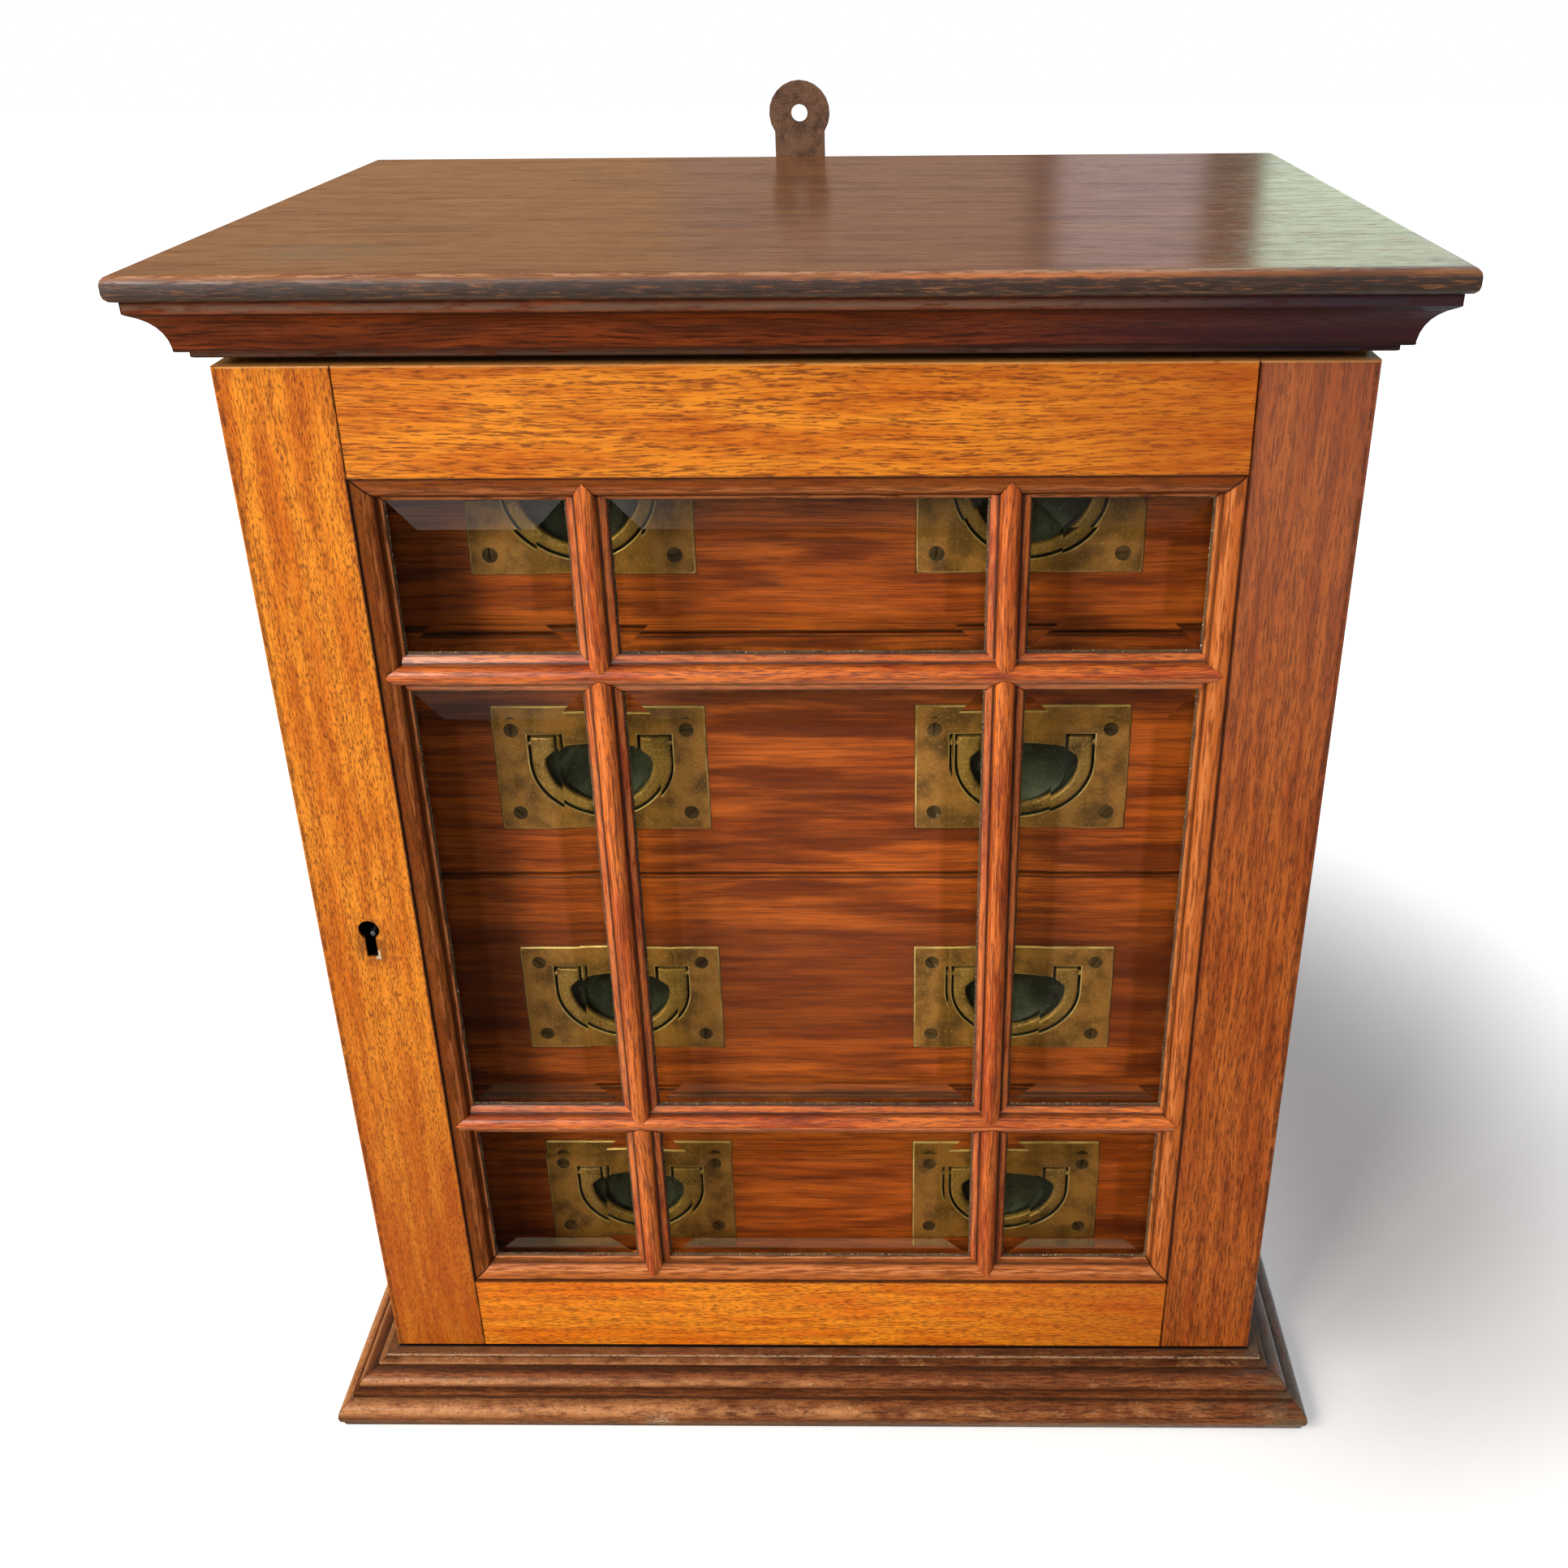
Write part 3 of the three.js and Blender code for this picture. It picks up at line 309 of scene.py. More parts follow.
def wood(name, grain, tones, seed, pore=PORE_BROWN, dash=2.6, dashes=0.7, many=0, streak=0.55, coarse=0.9,
         thick=0.55, rings=0.3, ring_width=7, gloss=0.42, wax=0.1, relief=0.1, shine=0.2, change=None):
    """Oak with its fibres along one axis: rings, long streaks, and dark pores in short dashes."""
    f = Finish(name)
    places = f.millimetres()
    along, across, deep = [places[i] for i in GRAINS[grain]]
    along = along + 53 * seed
    sway = f.noise(along / 150, across / 45, deep / 45 + seed)
    across = across + 9 * sway + 31 * seed
    drift = f.noise(along / 260, across / 40, deep / 40)
    band = 0.5 + 0.5 * ((across / ring_width + deep / 9 + 5 * drift) * math.tau).sine()
    cloud = f.noise(along / 60, across / 9, deep / 9, detail=4, rough=0.6)
    fibre = f.noise(along / (3 * dash), across / coarse, deep / coarse, detail=3, rough=0.6)
    marks = f.noise(along / dash, across / thick, deep / thick, rough=0.6)
    holes = (marks + many + 0.05 * band + 0.16 * (cloud - 0.5)).rise(0.57, 0.66)
    dark, middle, light = tones
    body = f.coats(
        middle,
        (cloud.rise(0.36, 0.64), light),
        (0.6 * marks.rise(0.48, 0.36), light),
        (streak * fibre.rise(0.47, 0.64), dark),
        (rings * band * cloud.rise(0.75, 0.35), dark),
        (dashes * holes, pore),
    )
    rough = gloss + 0.2 * holes + 0.12 * (fibre - 0.5)
    if change:
        body, rough = change(f, places, body, rough)
    return f.surface(Base_Color=body, Roughness=rough, Specular_IOR_Level=shine, Coat_Weight=wax,
                     Coat_Roughness=0.25, Normal=f.bump(0.5 * fibre - 0.8 * holes, relief))


def new_piece(name, bm, finishes, body, slot=None, replaced=(), sharp=35):
    """Makes an object of a finished bmesh: curves smooth, arrises sharp, riding on its body."""
    for face in bm.faces:
        face.smooth = True
    for edge in bm.edges:
        edge.smooth = edge.is_manifold and edge.calc_face_angle(math.pi) < math.radians(sharp)
    mesh = bpy.data.meshes.new(name)
    bm.to_mesh(mesh)
    bm.free()
    for finish in finishes:
        mesh.materials.append(finish)
    piece = in_scene(name, mesh)
    even = piece.modifiers.new("even_normals", "WEIGHTED_NORMAL")
    even.keep_sharp = True
    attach(piece, body)
    if replaced:
        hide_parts(*replaced)
    return piece


MERGE_REACH = 0.002
FLAT_ANGLE = math.radians(0.5)
ARRIS_ANGLE = math.radians(40)


def merged_copy(node):
    """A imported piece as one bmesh, with its flat faces whole."""
    bm = bmesh.new()
    bm.from_mesh(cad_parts[node].data)
    bmesh.ops.remove_doubles(bm, verts=bm.verts, dist=MERGE_REACH * MM)
    bmesh.ops.dissolve_limit(bm, angle_limit=FLAT_ANGLE, verts=bm.verts, edges=bm.edges)
    return bm


def waver(x, z, reach=9):
    """How far hand work strays from its line at a place: a smooth number about 0."""
    return noise.noise(Vector((x / reach, 3.7, z / reach)))


def face_width(face):
    return face.calc_area() / max(edge.calc_length() for edge in face.edges)


def ease_arrises(bm, ease, least_width, least_length):
    """Rounds the sharp outer edges whose faces are wide enough to take it."""
    picked = [
        edge for edge in bm.edges
        if edge.is_manifold
        and edge.is_convex
        and edge.calc_length() > least_length * MM
        and edge.calc_face_angle() > ARRIS_ANGLE
        and min(face_width(face) for face in edge.link_faces) > least_width * MM
    ]
    bmesh.ops.bevel(bm, geom=picked, offset=ease * MM, offset_type="OFFSET", segments=2, profile=0.5,
                    affect="EDGES", clamp_overlap=False, material=-1)


def dress(node, finish, slot, body="root", ease=0.5, least_width=2.5, least_length=4, screws=None):
    """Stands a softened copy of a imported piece, in its finish, in the place of the plain one.

    screws are the places, the facing and the head radius of the screws that are sunk in it.
    """
    bm = merged_copy(node)
    if ease:
        ease_arrises(bm, ease, least_width, least_length)
    if screws:
        screw_seats(bm, *screws)
    return new_piece(f"{node}_dressed", bm, [finish], body, slot, [node])


for node, seed in (("case_side_left", 0.3), ("case_side_right", 1.7)):
    dress(node, wood(f"{node}_oak", "z", GOLDEN, seed), "oak_golden")

# Case bottom, top and back
# Unpolished oak boards that only show when the door is open or the cabinet is turned round.
# They have darkened with age, and the back is held by small cut nails.
PALE = (tone(92, 62, 36), tone(138, 100, 62), tone(164, 124, 82))
# The board lips seen in the gaps above and below the door are darkened as painted shade.
LIP_SHADE_DARK = tone(26, 12, 8)


def box_of(node):
    """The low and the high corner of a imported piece, in millimetres."""
    return [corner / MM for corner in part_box(node)]


lip_rear = box_of("door_stile_lock")[1].y


def lip_painted_shade(f, places, body, rough):
    """Painted shade, nearly black, on the lips in the gaps above and below the door."""
    return f.mix(places[1].rise(lip_rear + 3, lip_rear), body, LIP_SHADE_DARK), rough


for node, grain, seed in (("case_bottom", "x", 0.5), ("case_top", "x", 2.2), ("case_back", "z", 4.1)):
    finish = wood(f"{node}_wood", grain, PALE, seed, dashes=0.5, gloss=0.62, wax=0, change=lip_painted_shade)
    dress(node, finish, "pale_wood")

# Base moulding
# A stepped and rounded oak moulding, planted round the foot of the case in three lengths
# with mitred corners. Its rounds, above all the bottom one, are rubbed pale and lightened as
# painted highlight, most of all at the left, towards the key lamp. Dirt and painted shade
# darken its quirks, and painted shade the top of its shelf under the door.
BASE = (tone(54, 26, 12), tone(120, 62, 24), tone(152, 88, 42))
PALE_WEAR_AND_HIGHLIGHT = tone(226, 156, 98)
BASE_DIRT_AND_SHADE = tone(40, 24, 16)
CHIP = tone(214, 190, 158)
BASE_GREY = tone(100, 88, 68)
CHIP_X = -77


def base_wear_and_light(f, places, body, rough):
    x, y, z = places
    patch = f.noise(x / 18, y / 18, z / 5, detail=5, rough=0.7)
    grit = f.noise(x / 2.2, y / 2.2, z / 0.8, detail=3, rough=0.6)
    left = x.rise(150, -220)
    crest = z.near(10.5, 4.4).most(z.near(25.4, 1.1)).most(z.near(20.5, 2.4) * 0.8).most(z.near(27.6, 0.7))
    rubbed_and_lit = crest * (patch + 0.22 * left + 0.3 * (grit - 0.5)).rise(0.48, 0.72)
    quirks = z.near(14.4, 1.8).most(z.near(23.9, 1)).most(z.near(17.6, 1)).most(z.rise(3, 0))
    quirks = quirks.most(0.6 * z.near(25.8, 0.8))
    chip = x.near(CHIP_X, 9) * z.near(5.5, 5.5) * grit.rise(0.45, 0.55)
    speck = f.noise(x / 1.1, y / 1.1, z / 0.9) + 0.16 * (patch - 0.5) + 0.05 * left
    chip = chip.most(0.8 * speck.rise(0.67, 0.73) * (crest + 0.1) * patch.rise(0.44, 0.58))
    # Painted highlight is laid with the pale wear of the rounds; the quirks take dirt and painted shade,
    # and the shelf top behind the front edge takes painted shade.
    body = f.coats(
        body,
        (0.7 * rubbed_and_lit, PALE_WEAR_AND_HIGHLIGHT),
        (0.65 * (x + 0.25 * y).rise(158, 186) * patch.rise(0.36, 0.52), BASE_GREY),
        (0.5 * grit.rise(0.54, 0.66), BASE[0]),
        (0.75 * quirks, BASE_DIRT_AND_SHADE),
        (0.45 * z.rise(27.2, 27.8) * y.rise(-164, -158), BASE_DIRT_AND_SHADE),
        (0.6 * z.near(27.2, 0.9) * grit.rise(0.4, 0.52), CHIP),
        (0.8 * chip, CHIP),
    )
    return body, rough + 0.12 * rubbed_and_lit


def planted(name, tones, seed, ease, **looks):
    """Dresses the three lengths of a moulding: the front and the two returns."""
    for number, (length, grain) in enumerate((("front", "x"), ("left", "y"), ("right", "y"))):
        node = f"{name}_{length}"
        oak = wood(f"{node}_oak", grain, tones, seed + number, streak=0.8, gloss=0.4, **looks)
        dress(node, oak, "oak_dark", ease=ease, least_width=1.5)


planted("base", BASE, 0.9, 0.4, change=base_wear_and_light, dash=5, many=0.02)

# Cornice
# A coved oak moulding under the top board, in three lengths with mitred corners. The cove
# keeps its red-brown stain; the fillets above and below it have gone grey with handling.
# Towards the right the cove and fillets are painted darker as shade, and dirt and painted
# shade darken the corners beside the cove.
CORNICE = (tone(44, 16, 6), tone(104, 44, 14), tone(132, 58, 18))
CORNICE_SHADE_RIGHT = tone(52, 30, 38)
FILLET_GREY = tone(112, 88, 72)
FILLET_SHADE_RIGHT = tone(58, 50, 56)
cornice_low, cornice_high = [corner.z for corner in box_of("cornice_front")]


def cornice_wear_and_shade(f, places, body, rough):
    x, y, z = places
    patch = f.noise(x / 12, y / 12, z / 2.5, detail=5, rough=0.65)
    fillets = z.near(cornice_low + 1.2, 1.5).most(z.near(cornice_high - 2.4, 2.2))
    grey = f.mix(x.rise(60, 190), FILLET_GREY, FILLET_SHADE_RIGHT)
    corner = z.near(cornice_low + 3.4, 1.1).most(z.near(cornice_high - 4.7, 1))
    corner = corner.most(z.rise(cornice_low + 0.9, cornice_low))
    # Painted shade darkens the right-hand end, and dirt and painted shade darken the corners beside the
    # cove.
    body = f.coats(
        body,
        (0.9 * x.rise(0, 190), CORNICE_SHADE_RIGHT),
        (0.8 * fillets * patch.rise(0.3, 0.52), grey),
        (0.85 * corner, BASE_DIRT_AND_SHADE),
    )
    return body, rough


planted("cornice", CORNICE, 3.9, 0.35, change=cornice_wear_and_shade, dash=6, rings=0.45, wax=0, shine=0.1)

# Top board
# One thin oak board with rounded edges, polished and then worn: glossy on top, rubbed to
# orange wood along its upper front edge, where the orange middle is also painted highlight,
# and almost black below that, with dirt and painted shade.
TOP = (tone(84, 44, 24), tone(132, 80, 44), tone(150, 98, 56))
WORN_BROWN = tone(84, 50, 40)
WORN_AND_LIT_ORANGE = tone(206, 120, 66)
ARRIS_PALE = tone(196, 142, 106)
EDGE_BLACK = tone(38, 32, 32)
SMUDGE = tone(116, 106, 88)
SMUDGE_PLACE = (-168, -118)
top_low, top_high = box_of("top_board")
front_y = top_low.y
board_top = top_high.z


def top_wear_and_light(f, places, body, rough):
    x, y, z = places
    patch = f.noise(x / 9, y / 2, z / 0.9, detail=5, rough=0.7)
    stain = f.noise(x / 60, y / 11, z / 30, detail=4, rough=0.6)
    edge = y.rise(front_y + 3.4, front_y + 1.2)
    low = edge * z.rise(board_top - 1.4, board_top - 3)
    high = edge * z.near(board_top - 2, 1.8)
    arris = y.near(front_y + 1.6, 1.4) * z.rise(board_top - 2.2, board_top - 0.8)
    smear = x.near(SMUDGE_PLACE[0], 42) * y.near(SMUDGE_PLACE[1], 34) * patch.rise(0.4, 0.54)
    middle = x.near(70, 120)
    # The orange upper band is wear and painted highlight; the black lower band is dirt and painted shade.
    body = f.coats(
        body,
        (0.65 * stain.rise(0.46, 0.64), TOP[0]),
        (0.85 * smear, SMUDGE),
        (0.8 * high * (patch + 0.08 * middle).rise(0.44, 0.58), f.mix(middle, WORN_BROWN, WORN_AND_LIT_ORANGE)),
        (0.92 * low * patch.rise(0.7, 0.5), EDGE_BLACK),
        ((0.75 - 0.35 * x.rise(110, 170)) * arris * patch.rise(0.44, 0.56), ARRIS_PALE),
    )
    return body, rough + 0.25 * edge + 0.25 * (stain - 0.5) + 0.2 * smear


top_oak = wood("top_board_oak", "x", TOP, 0.6, change=top_wear_and_light, dash=11, dashes=0.3, rings=0.25,
               ring_width=21, streak=0.3, gloss=0.15, wax=0, relief=0.05, shine=0.5)
dress("top_board", top_oak, "oak_dark", ease=0)

# Hanging lug
# A flat iron strap with a round eye, held to the back of the case by two countersunk
# screws. It is brown and rough with rust.
RUST = (tone(70, 46, 32), tone(112, 80, 58), tone(140, 102, 74))


def old_iron():
    f = Finish("rusty_iron")
    x, y, z = f.millimetres()
    blotch = f.noise(x / 7, y / 7, z / 7, detail=5, rough=0.65)
    grit = f.noise(x / 0.9, y / 0.9, z / 0.9, detail=3)
    body = f.coats(RUST[0], (blotch.rise(0.35, 0.62), RUST[1]), (0.6 * grit.rise(0.52, 0.7), RUST[2]))
    return f.surface(Base_Color=body, Metallic=0.35, Roughness=0.62 + 0.2 * (blotch - 0.5),
                     Normal=f.bump(grit + 2 * blotch, 0.18))


SCREW_SIDES = 28
SLOT_SHARE = 0.17
SLOT_DEPTH_SHARE = 0.3
SLOT_RUN_OUT = 0.6
HEAD_TAPER = 0.5
HEAD_SUNK = 0.05
SEAT_GAP = 0.15
TURN_STEP = 2.4
iron = old_iron()


def whole(bm):
    return bm.verts[:] + bm.edges[:] + bm.faces[:]


def verts_in(items):
    return [item for item in items if isinstance(item, bmesh.types.BMVert)]


def face_outwards(bm):
    bmesh.ops.recalc_face_normals(bm, faces=bm.faces)


def wire_loop(bm, points):
    verts = [bm.verts.new(point) for point in points]
    return [bm.edges.new((verts[i - 1], verts[i])) for i in range(len(verts))]


def bridged(bm, loops, slot=0):
    for first, second in zip(loops, loops[1:]):
        for face in bmesh.ops.bridge_loops(bm, edges=first + second)["faces"]:
            face.material_index = slot


def filled(bm, loops, slot=0):
    edges = [edge for loop in loops for edge in loop]
    for item in bmesh.ops.triangle_fill(bm, use_beauty=True, edges=edges)["geom"]:
        if isinstance(item, bmesh.types.BMFace):
            item.material_index = slot


def screw_seats(bm, places, facing, radius):
    """Sinks a cone for each screw head into the largest flat face that faces its way."""
    bmesh.ops.scale(bm, vec=(1 / MM, 1 / MM, 1 / MM), verts=bm.verts)
    flat = [face for face in bm.faces if face.normal.y * facing > 0.999]
    flat = max(flat, key=bmesh.types.BMFace.calc_area)
    front = flat.calc_center_median().y
    edges = [list(flat.edges)]
    bmesh.ops.delete(bm, geom=[flat], context="FACES_ONLY")
    turns = [math.tau * i / SCREW_SIDES for i in range(SCREW_SIDES)]
    for x, _, z in places:
        cone = []
        for reach, depth in ((radius + SEAT_GAP, 0), (HEAD_TAPER * radius, HEAD_TAPER * radius + SEAT_GAP)):
            y = front - facing * depth
            ring = [(x + reach * math.cos(turn), y, z + reach * math.sin(turn)) for turn in turns]
            cone.append(wire_loop(bm, ring))
        bridged(bm, cone)
        filled(bm, cone[1:])
        edges.append(cone[0])
    filled(bm, edges)
    face_outwards(bm)
    bmesh.ops.scale(bm, vec=(MM, MM, MM), verts=bm.verts)


def screw_heads(name, places, facing, radius, finish, body, slot):
    """Countersunk heads at the given places, each slotted and turned its own way."""
    bm = bmesh.new()
    bmesh.ops.create_circle(bm, cap_ends=True, segments=SCREW_SIDES, radius=radius)
    half = SLOT_SHARE * radius
    for place in (-half, half):
        bmesh.ops.bisect_plane(bm, geom=whole(bm), plane_co=(0, place, 0), plane_no=(0, 1, 0))
    strip = [face for face in bm.faces if abs(face.calc_center_median().y) < half]
    sunk = verts_in(bmesh.ops.extrude_face_region(bm, geom=strip)["geom"])
    bmesh.ops.delete(bm, geom=strip, context="FACES_ONLY")
    bmesh.ops.scale(bm, vec=(SLOT_RUN_OUT, 1, 1), verts=sunk)
    bmesh.ops.translate(bm, vec=(0, 0, -SLOT_DEPTH_SHARE * radius), verts=sunk)
    rim = [edge for edge in bm.edges if edge.is_boundary]
    cone = verts_in(bmesh.ops.extrude_edge_only(bm, edges=rim)["geom"])
    bmesh.ops.scale(bm, vec=(HEAD_TAPER, HEAD_TAPER, 1), verts=cone)
    bmesh.ops.translate(bm, vec=(0, 0, -HEAD_TAPER * radius), verts=cone)
    bmesh.ops.holes_fill(bm, edges=[edge for edge in bm.edges if edge.is_boundary])
    face_outwards(bm)
    upright = Vector((0, 0, 1)).rotation_difference(Vector(facing)).to_matrix().to_4x4()
    pattern = whole(bm)
    for number, place in enumerate(places):
        copy = bmesh.ops.duplicate(bm, geom=pattern)["geom"]
        spin = Matrix.Rotation(TURN_STEP * (number + places[0][2]), 4, "Z")
        seat = Matrix.Translation(Vector(place) * MM) @ upright @ spin @ Matrix.Scale(MM, 4)
        bmesh.ops.transform(bm, matrix=seat, verts=verts_in(copy))
    bmesh.ops.delete(bm, geom=verts_in(pattern), context="VERTS")
    return new_piece(name, bm, [finish], body, slot)


def screwed(node, screws, places, facing, radius, finish, body, slot, **softening):
    """A dressed piece that is held by countersunk screws, which face the front or the back."""
    dress(node, finish, slot, body, screws=(places, facing, radius), **softening)
    screw_heads(screws, places, (0, facing, 0), radius, finish, body, slot)


LUG_SCREW = 3.4
LUG_SCREW_UPS = (10, 34)
lug_low, lug_high = box_of("hanging_lug")
lug_middle = (lug_low.x + lug_high.x) / 2
spots = [(lug_middle, lug_high.y - HEAD_SUNK, lug_low.z + up) for up in LUG_SCREW_UPS]
screwed("hanging_lug", "lug_screws", spots, 1, LUG_SCREW, iron, "root", "iron",
        ease=0.35, least_width=1.2, least_length=2)

# Back nails
# Cut iron nails with small, nearly square heads hold the back board in its rebates. They
# are about 60 mm apart, and no two are driven quite alike.
NAIL_HEAD = (2.6, 0.5, 3.2)
NAIL_SPACING = 62
NAIL_SPACING_ACROSS = 0.86 * NAIL_SPACING
NAIL_INSET = 3
NAIL_FIRST_UP = 34
NAIL_LOW_UP = 6
NAIL_HIGH_DOWN = 16
back_low, back_high = box_of("case_back")
nail_x = back_high.x - NAIL_INSET
nail_spots = []
for i in range(8):
    up = back_low.z + NAIL_FIRST_UP + i * NAIL_SPACING
    nail_spots += [(-nail_x, up), (nail_x, up)]
for i in range(-3, 4):
    x = i * NAIL_SPACING_ACROSS
    nail_spots += [(x, z) for z in (back_low.z + NAIL_LOW_UP, back_high.z - NAIL_HIGH_DOWN)]
bm = bmesh.new()
for number, (x, z) in enumerate(nail_spots):
    seat = Matrix.Translation(Vector((x + 1.2 * waver(x, z), back_high.y, z + 2 * waver(z, x))))
    seat = seat @ Matrix.Rotation(0.5 * waver(number * 7, z), 4, "Y") @ Matrix.Diagonal((*NAIL_HEAD, 1))
    bmesh.ops.create_cube(bm, size=1, matrix=Matrix.Scale(MM, 4) @ seat)
bmesh.ops.bevel(bm, geom=bm.edges[:], offset=0.2 * MM, segments=2, profile=0.5, affect="EDGES", material=-1)
new_piece("back_nails", bm, [iron], "root", "iron")

# Hinges
# Two brass butt hinges at the right, let into the edge of the case side and the back of
# the door. Each leaf is held by three countersunk screws.
BRASS = (tone(104, 70, 32), tone(170, 116, 56), tone(220, 166, 92))
HINGE_SCREW = 1.9
HINGE_SCREW_UPS = (8, 25, 42)
LEAF_GAP = 0.15


def old_brass(name, seed, gloss=0.42, clean=0, metal=0.2, tones=BRASS, shine=0.3):
    f = Finish(name)
    x, y, z = f.millimetres()
    patina = f.noise(x / 13 + seed, y / 13, z / 13, detail=4, rough=0.55)
    speck = f.noise(x / 1.2, y / 1.2, z / 1.2 + seed, detail=3, rough=0.7)
    body = f.coats(
        tones[0],
        ((patina + clean).rise(0.3, 0.62), tones[1]),
        (0.5 * (speck + clean).rise(0.54, 0.72), tones[2]),
        (0.5 * speck.rise(0.44, 0.3), tones[0]),
    )
    return f.surface(Base_Color=body, Metallic=metal, Specular_IOR_Level=shine,
                     Roughness=gloss + 0.35 * (0.62 - patina), Normal=f.bump(speck + patina, 0.08))


hinge_brass = old_brass("hinge_brass", 7)
door_edge = box_of("door_stile_hinge")[1].x
for end in ("upper", "lower"):
    for leaf, body in (("case_leaf", "root"), ("door_leaf", "door")):
        node = f"hinge_{end}_{leaf}"
        low, high = box_of(node)
        pin_y = (low.y + high.y) / 2
        facing = -1 if body == "root" else 1
        leaf_x = (low.x + door_edge) / 2
        spots = [(leaf_x, pin_y - facing * (LEAF_GAP + HEAD_SUNK), low.z + up) for up in HINGE_SCREW_UPS]
        screwed(node, f"{node}_screws", spots, facing, HINGE_SCREW, hinge_brass, body, "brass", ease=0)

# Door frame
# Two stiles and two rails, mortised together, with an ovolo worked on their inner edges.
# The flats are golden; the moulding is red-brown, dark on the lock stile and top rail, and dirt
# lines the joints. The tones of the members are partly painted light: the moulding is lighter
# on the hinge stile and bottom rail, which face the key lamp, than on the lock stile and top
# rail, which face away, and the hinge stile is darker and the bottom rail brighter all over.
# The moulding's crest and fillets are worn pale and painted with highlight, and its quirks are
# darkened with dirt and painted shade.
# The moulding and fillet tones are in part lit and shaded copies: the plain ones, on the lock stile and top
# rail, face away from the key lamp, and the LOW and RIGHT ones face it.
MOULDING = tone(112, 46, 12)
MOULDING_LOW = tone(180, 98, 48)
MOULDING_RIGHT = tone(190, 100, 40)
FILLET_WORN_AND_LIT = tone(196, 116, 64)
FILLET_LOW = tone(226, 156, 104)
FILLET_RIGHT = tone(226, 142, 78)
REDDER = tone(164, 72, 18)
DIRT_AND_CREASE_SHADE = tone(44, 20, 10)
BORE_BLACK = tone(16, 10, 8)
ARRIS_LIGHT = tone(236, 168, 96)
# The hinge stile's darker tones and the bottom rail's brighter ones are partly their oak and partly painted
# light.
RIGHT_TONES = (tone(88, 34, 8), tone(168, 76, 20), tone(196, 102, 34))
RIGHT_DULL = tone(150, 98, 78)
RIGHT_PORE = tone(84, 34, 10)
LOW_TONES = (tone(176, 74, 6), tone(238, 120, 12), tone(255, 154, 30))
door_low, door_high = box_of("door_stile_lock")
STICKING = 10
sight_x = -door_high.x
sight_top = box_of("door_rail_top")[0].z
sight_bottom = box_of("door_rail_bottom")[1].z
flat_x = sight_x + STICKING
flat_top = sight_top + STICKING
flat_bottom = sight_bottom - STICKING
door_top = door_high.z
KEYHOLE = (-184.9, 260)
KEY_CHIP = (-182.6, 254.6)


def frame_wear_and_light(moulding, fillet, stretch):
    """Dirt, wear and painted light of a door member: the tones of the moulding on its inner edge, partly
    painted light; painted highlight on its crest and fillet; dirt and painted shade in its quirks; and
    painted shade in the keyhole's bore.
    """
    def change(f, places, body, rough):
        x, y, z = places
        grime = f.noise(x / 5, y / 5, z / 5, detail=5, rough=0.65)
        rubbed_and_lit = f.noise(x / stretch[0], y / 0.8, z / stretch[1], detail=4, rough=0.6)
        from_side = flat_x - abs(x)
        from_end = (z - flat_bottom).least(flat_top - z)
        inwards = from_side.least(from_end)
        within = inwards.rise(-0.2, 0.5)
        mitre = (from_side - from_end).near(0, 0.9) * within
        joint = from_side.near(0, 1.1) * (1 - within)
        outer = abs(x).near(door_edge - 1.4, 1.5) * grime.rise(0.3, 0.55)
        arris = z.rise(door_top - 1, door_top - 0.4) * grime.rise(0.3, 0.45)
        # The ovolo's crest takes the pale fillet tone: wear and painted highlight.
        across = f.coats(
            moulding,
            (0.6 * rubbed_and_lit.rise(0.52, 0.4), DIRT_AND_CREASE_SHADE),
            (0.6 * inwards.near(5.4, 2.6) * rubbed_and_lit.rise(0.46, 0.58), fillet),
        )
        redder = z.rise(260, 60) * x.rise(-flat_x + 1, -flat_x - 1)
        redder = redder.most(x.rise(40, 160) * x.rise(flat_x + 1, flat_x - 1))
        duller = x.rise(flat_x, flat_x + 1) * z.rise(240, 480)
        # Dark lines in the quirks, at the fillet and at the mitres: dirt and painted shade.
        lines = inwards.near(0.2, 1.2).most(0.85 * inwards.near(7.9, 0.8))
        lines = lines.most(0.8 * inwards.near(10, 0.6)).most(mitre)
        from_key = f.vector((x - KEYHOLE[0]) / 8, 0, (z - KEYHOLE[1]) / 14)
        from_key = f.node("VectorMath", {"operation": "LENGTH"}, {0: from_key}, output="Value")
        # The keyhole's bore is painted near black: painted shade.
        bore = y.rise(door_low.y + 0.5, door_low.y + 1.5) * from_key.rise(1.1, 1)
        chip = x.near(KEY_CHIP[0], 1.7).least(z.near(KEY_CHIP[1], 3.4)) * (1 - bore)
        body = f.coats(
            body,
            (0.5 * redder, REDDER),
            (0.35 * duller, RIGHT_DULL),
            (0.84 * within, across),
            (0.85 * inwards.rise(8.3, 8.8) * rubbed_and_lit.rise(0.38, 0.52), fillet),
            (0.92 * lines, DIRT_AND_CREASE_SHADE),
            (0.65 * joint * grime.rise(0.25, 0.55), DIRT_AND_CREASE_SHADE),
            (0.6 * outer, DIRT_AND_CREASE_SHADE),
            (0.55 * from_key.rise(1.15, 0.6) * grime.rise(0.3, 0.6), DIRT_AND_CREASE_SHADE),
            (bore, BORE_BLACK),
            (0.9 * chip.rise(0.1, 0.5), CHIP),
            (0.7 * arris, ARRIS_LIGHT),
        )
        return body, rough - 0.12 * within
    return change


UPRIGHT_STRETCH = (1.2, 14)
LEVEL_STRETCH = (14, 1.2)


